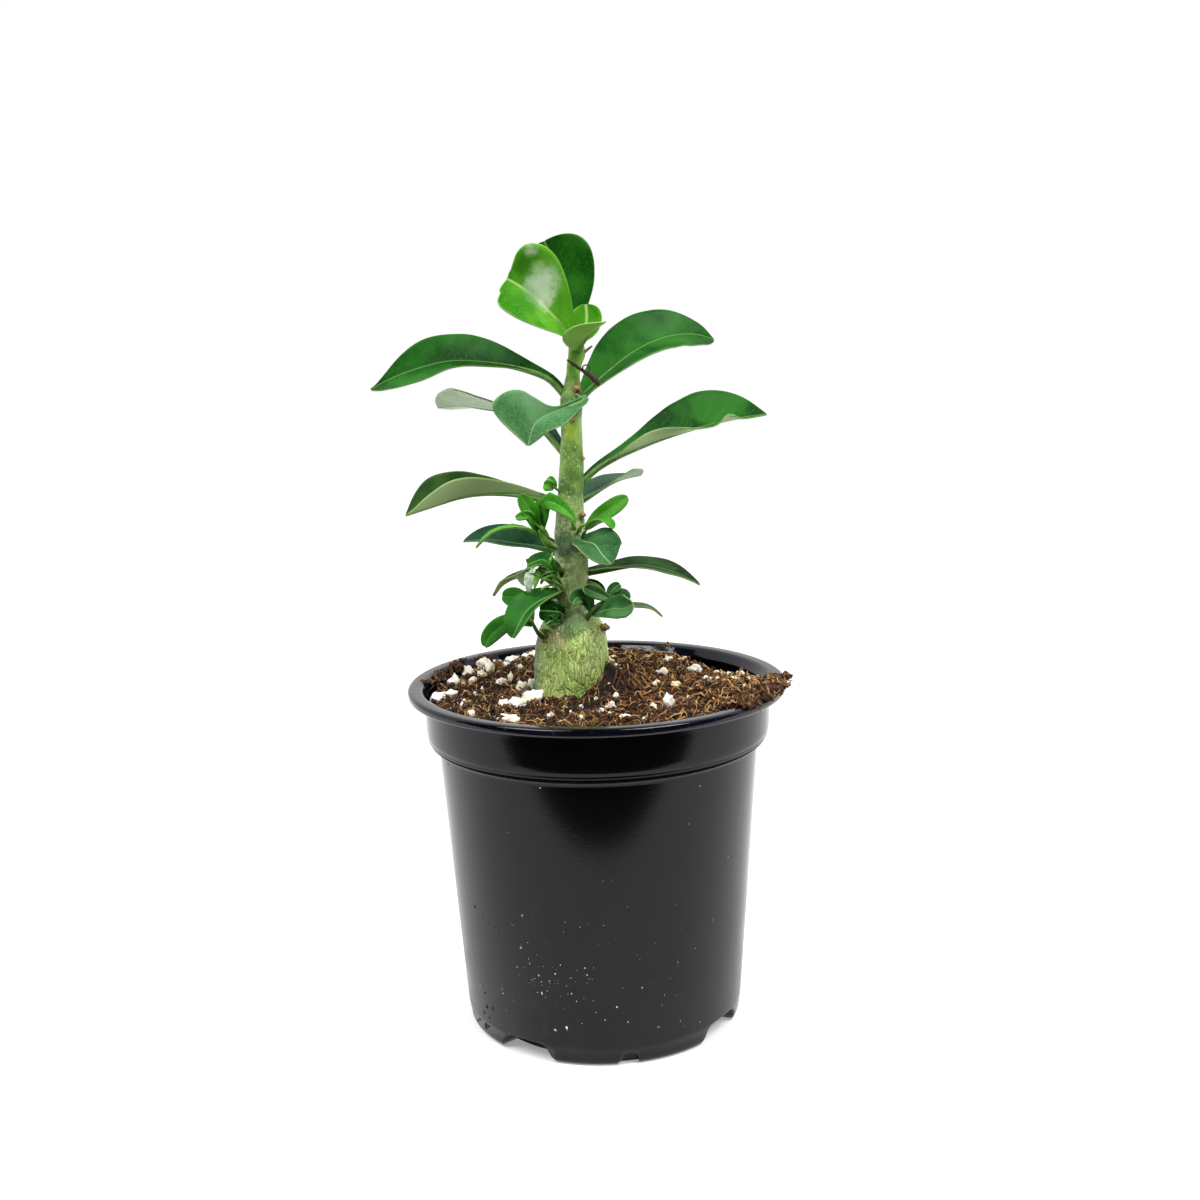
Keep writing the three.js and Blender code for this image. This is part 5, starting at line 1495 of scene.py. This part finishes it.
def turned(outline):
    """A closed body turned from an outline of radii and heights."""
    bm = bmesh.new()
    points = [bm.verts.new((radius, 0, height)) for radius, height in outline]
    for here, there in zip(points, points[1:]):
        bm.edges.new((here, there))
    bmesh.ops.spin(bm, geom=bm.verts[:] + bm.edges[:], cent=(0, 0, 0), axis=(0, 0, 1),
                   angle=2 * math.pi, steps=POT_STEPS, use_merge=True)
    bmesh.ops.remove_doubles(bm, verts=bm.verts, dist=1e-4)
    outward(bm)
    return bm


def small_feet(plastic):
    """Three low cones under the foot, each with its point down."""
    bm = bmesh.new()
    for turn in FEET["turns"]:
        made = bmesh.ops.create_cone(bm, cap_ends=True, segments=12, radius1=0, radius2=FEET["width"] / 2,
                                     depth=2 * FEET["drop"])["verts"]
        bmesh.ops.translate(bm, verts=made, vec=(*polar(math.radians(turn), FEET["radius"]), 0))
    piece("pot_feet", bm, [plastic], smooth=False)


def pot():
    """The pot: its wall with the notches cut out, its lip and its inside."""
    plastic = pot_finish()
    looks = [plastic, lip_finish(), inside_finish()]
    made = piece("pot_wall", turned(POT_OUTLINE), looks, ["pot"])
    blocks = []
    for k in range(NOTCH_COUNT):
        for notch in (WIDE_NOTCH, SMALL_NOTCH):
            bm = notch_cutter(notch["turn"] + 360 * k / NOTCH_COUNT, notch["inner"], notch["outline"])
            bmesh.ops.scale(bm, vec=(MM, MM, MM), verts=bm.verts)
            block = placed("notch", mesh_of("notch", bm))
            cut = made.modifiers.new("notch", "BOOLEAN")
            cut.object = block
            cut.solver = "EXACT"
            blocks.append(block)
    baked(made)
    for block in blocks:
        bpy.data.objects.remove(block)
    for face in made.data.polygons:
        away = math.hypot(face.center.x, face.center.y)
        if away < LIP_INNER * MM and face.center.z > INSIDE_BOTTOM * MM:
            face.material_index = 2
        if away > LIP_INNER * MM and face.center.z > LIP_BOTTOM * MM:
            face.material_index = 1
    small_feet(plastic)


# Studio, in metres

TABLE_FRONT = -0.172
TABLE_DEPTH = 1.9
TABLE_WIDTH = 3.2
DARK_DEPTH = 1.02
DARK_WIDTH = 2.4
HOOD = {"radius": 1.35, "lift": 0.1, "turns": (-88, 88), "rises": (-5, 110)}
LIGHT_SIZE = 0.45
LIGHT_DISTANCE = 0.9
LIGHT_TARGET = 0.12


def backdrop(name, columns, rows, place, finish, seen=True):
    """A surface of the studio, where place gives each of its points."""
    bm = sheet_of(columns, rows)
    for vert in bm.verts:
        vert.co = place(vert.co.x, vert.co.y)
    made = placed(name, mesh_of(name, bm, [finish]))
    made.visible_camera = seen


def table_place(across, back):
    return (TABLE_WIDTH * (across - 0.5), TABLE_FRONT + TABLE_DEPTH * back, -FEET["drop"] * MM)


def dark_place(across, forth):
    return (DARK_WIDTH * (across - 0.5), TABLE_FRONT - DARK_DEPTH * forth, -0.002)


def hood_place(across, up):
    """A hood over the front, and on over the top."""
    turn, rise = (math.radians(low + (high - low) * share) for (low, high), share in
                  ((HOOD["turns"], across), (HOOD["rises"], up)))
    flat = HOOD["radius"] * math.cos(rise)
    height = HOOD["radius"] * math.sin(rise) + HOOD["lift"]
    return (flat * math.sin(turn), -flat * math.cos(turn), height)


def table():
    """A pale table top. Its front edge is what the wall of the pot mirrors."""
    s = Shader("floor_paper")
    colour = s.mix(s.noise(8, 2), tone(244, 244, 244), tone(248, 248, 248))
    glow = {"Emission Color": (1, 1, 1, 1), "Emission Strength": 0.3}
    backdrop("floor", 1, 1, table_place, s.finish(colour, 0.8, **glow))


def shade(name, columns, rows, place):
    """A dark surface that the camera doesn't see: it keeps the light off the front of the plant."""
    s = Shader(name)
    finish = s.finish(s.mix(s.noise(5), tone(20, 20, 22), tone(28, 28, 30)), 0.9)
    backdrop(name, columns, rows, place, finish, seen=False)


def softbox(name, azimuth, elevation, power):
    """A square light that looks at the plant."""
    light = bpy.data.lights.new(name, "AREA")
    light.shape = "SQUARE"
    light.size = LIGHT_SIZE
    light.energy = power
    made = placed(name, light)
    turn, rise = math.radians(azimuth), math.radians(elevation)
    away = Vector((math.sin(turn) * math.cos(rise), -math.cos(turn) * math.cos(rise), math.sin(rise)))
    made.location = Vector((0, 0, LIGHT_TARGET)) + away * LIGHT_DISTANCE
    made.rotation_euler = away.to_track_quat("Z", "Y").to_euler()


def studio():
    """A white surround, the table, dark shades in front and two soft lights."""
    world = bpy.data.worlds.new("studio")
    world.use_nodes = True
    sky = world.node_tree.nodes["Background"]
    sky.inputs[0].default_value = (1, 1, 1, 1)
    sky.inputs[1].default_value = 1.0
    bpy.context.scene.world = world
    table()
    shade("dark_table", 1, 1, dark_place)
    shade("dark_dome", 24, 16, hood_place)
    softbox("key_right", 45, 50, 7.5)
    softbox("key_left", -50, 50, 6.0)
    bpy.context.scene.view_settings.view_transform = "Standard"


def camera():
    """The camera, where the photograph was taken from."""
    place, right, up, forward = camera_axes()
    data = bpy.data.cameras.new("camera")
    data.sensor_width = SENSOR
    data.lens = FOCAL_PIXELS / IMAGE_SIZE * SENSOR
    data.clip_start = 0.01
    made = placed("camera", data)
    turn = Matrix((right, up, -forward)).transposed()
    made.matrix_world = Matrix.Translation(place * MM) @ turn.to_4x4()
    bpy.context.scene.camera = made


pot()
specks()
soil()
crumbs()
strands("soil_coir", COIR)
strands("soil_root_hairs", HAIRS)
heap_fibres()
grit()
stem()
scars()
spur()
dry_twig()
pale_leaf()
sprouts()
large_leaves()
leaf_stalks()
shoots()
studio()
camera()
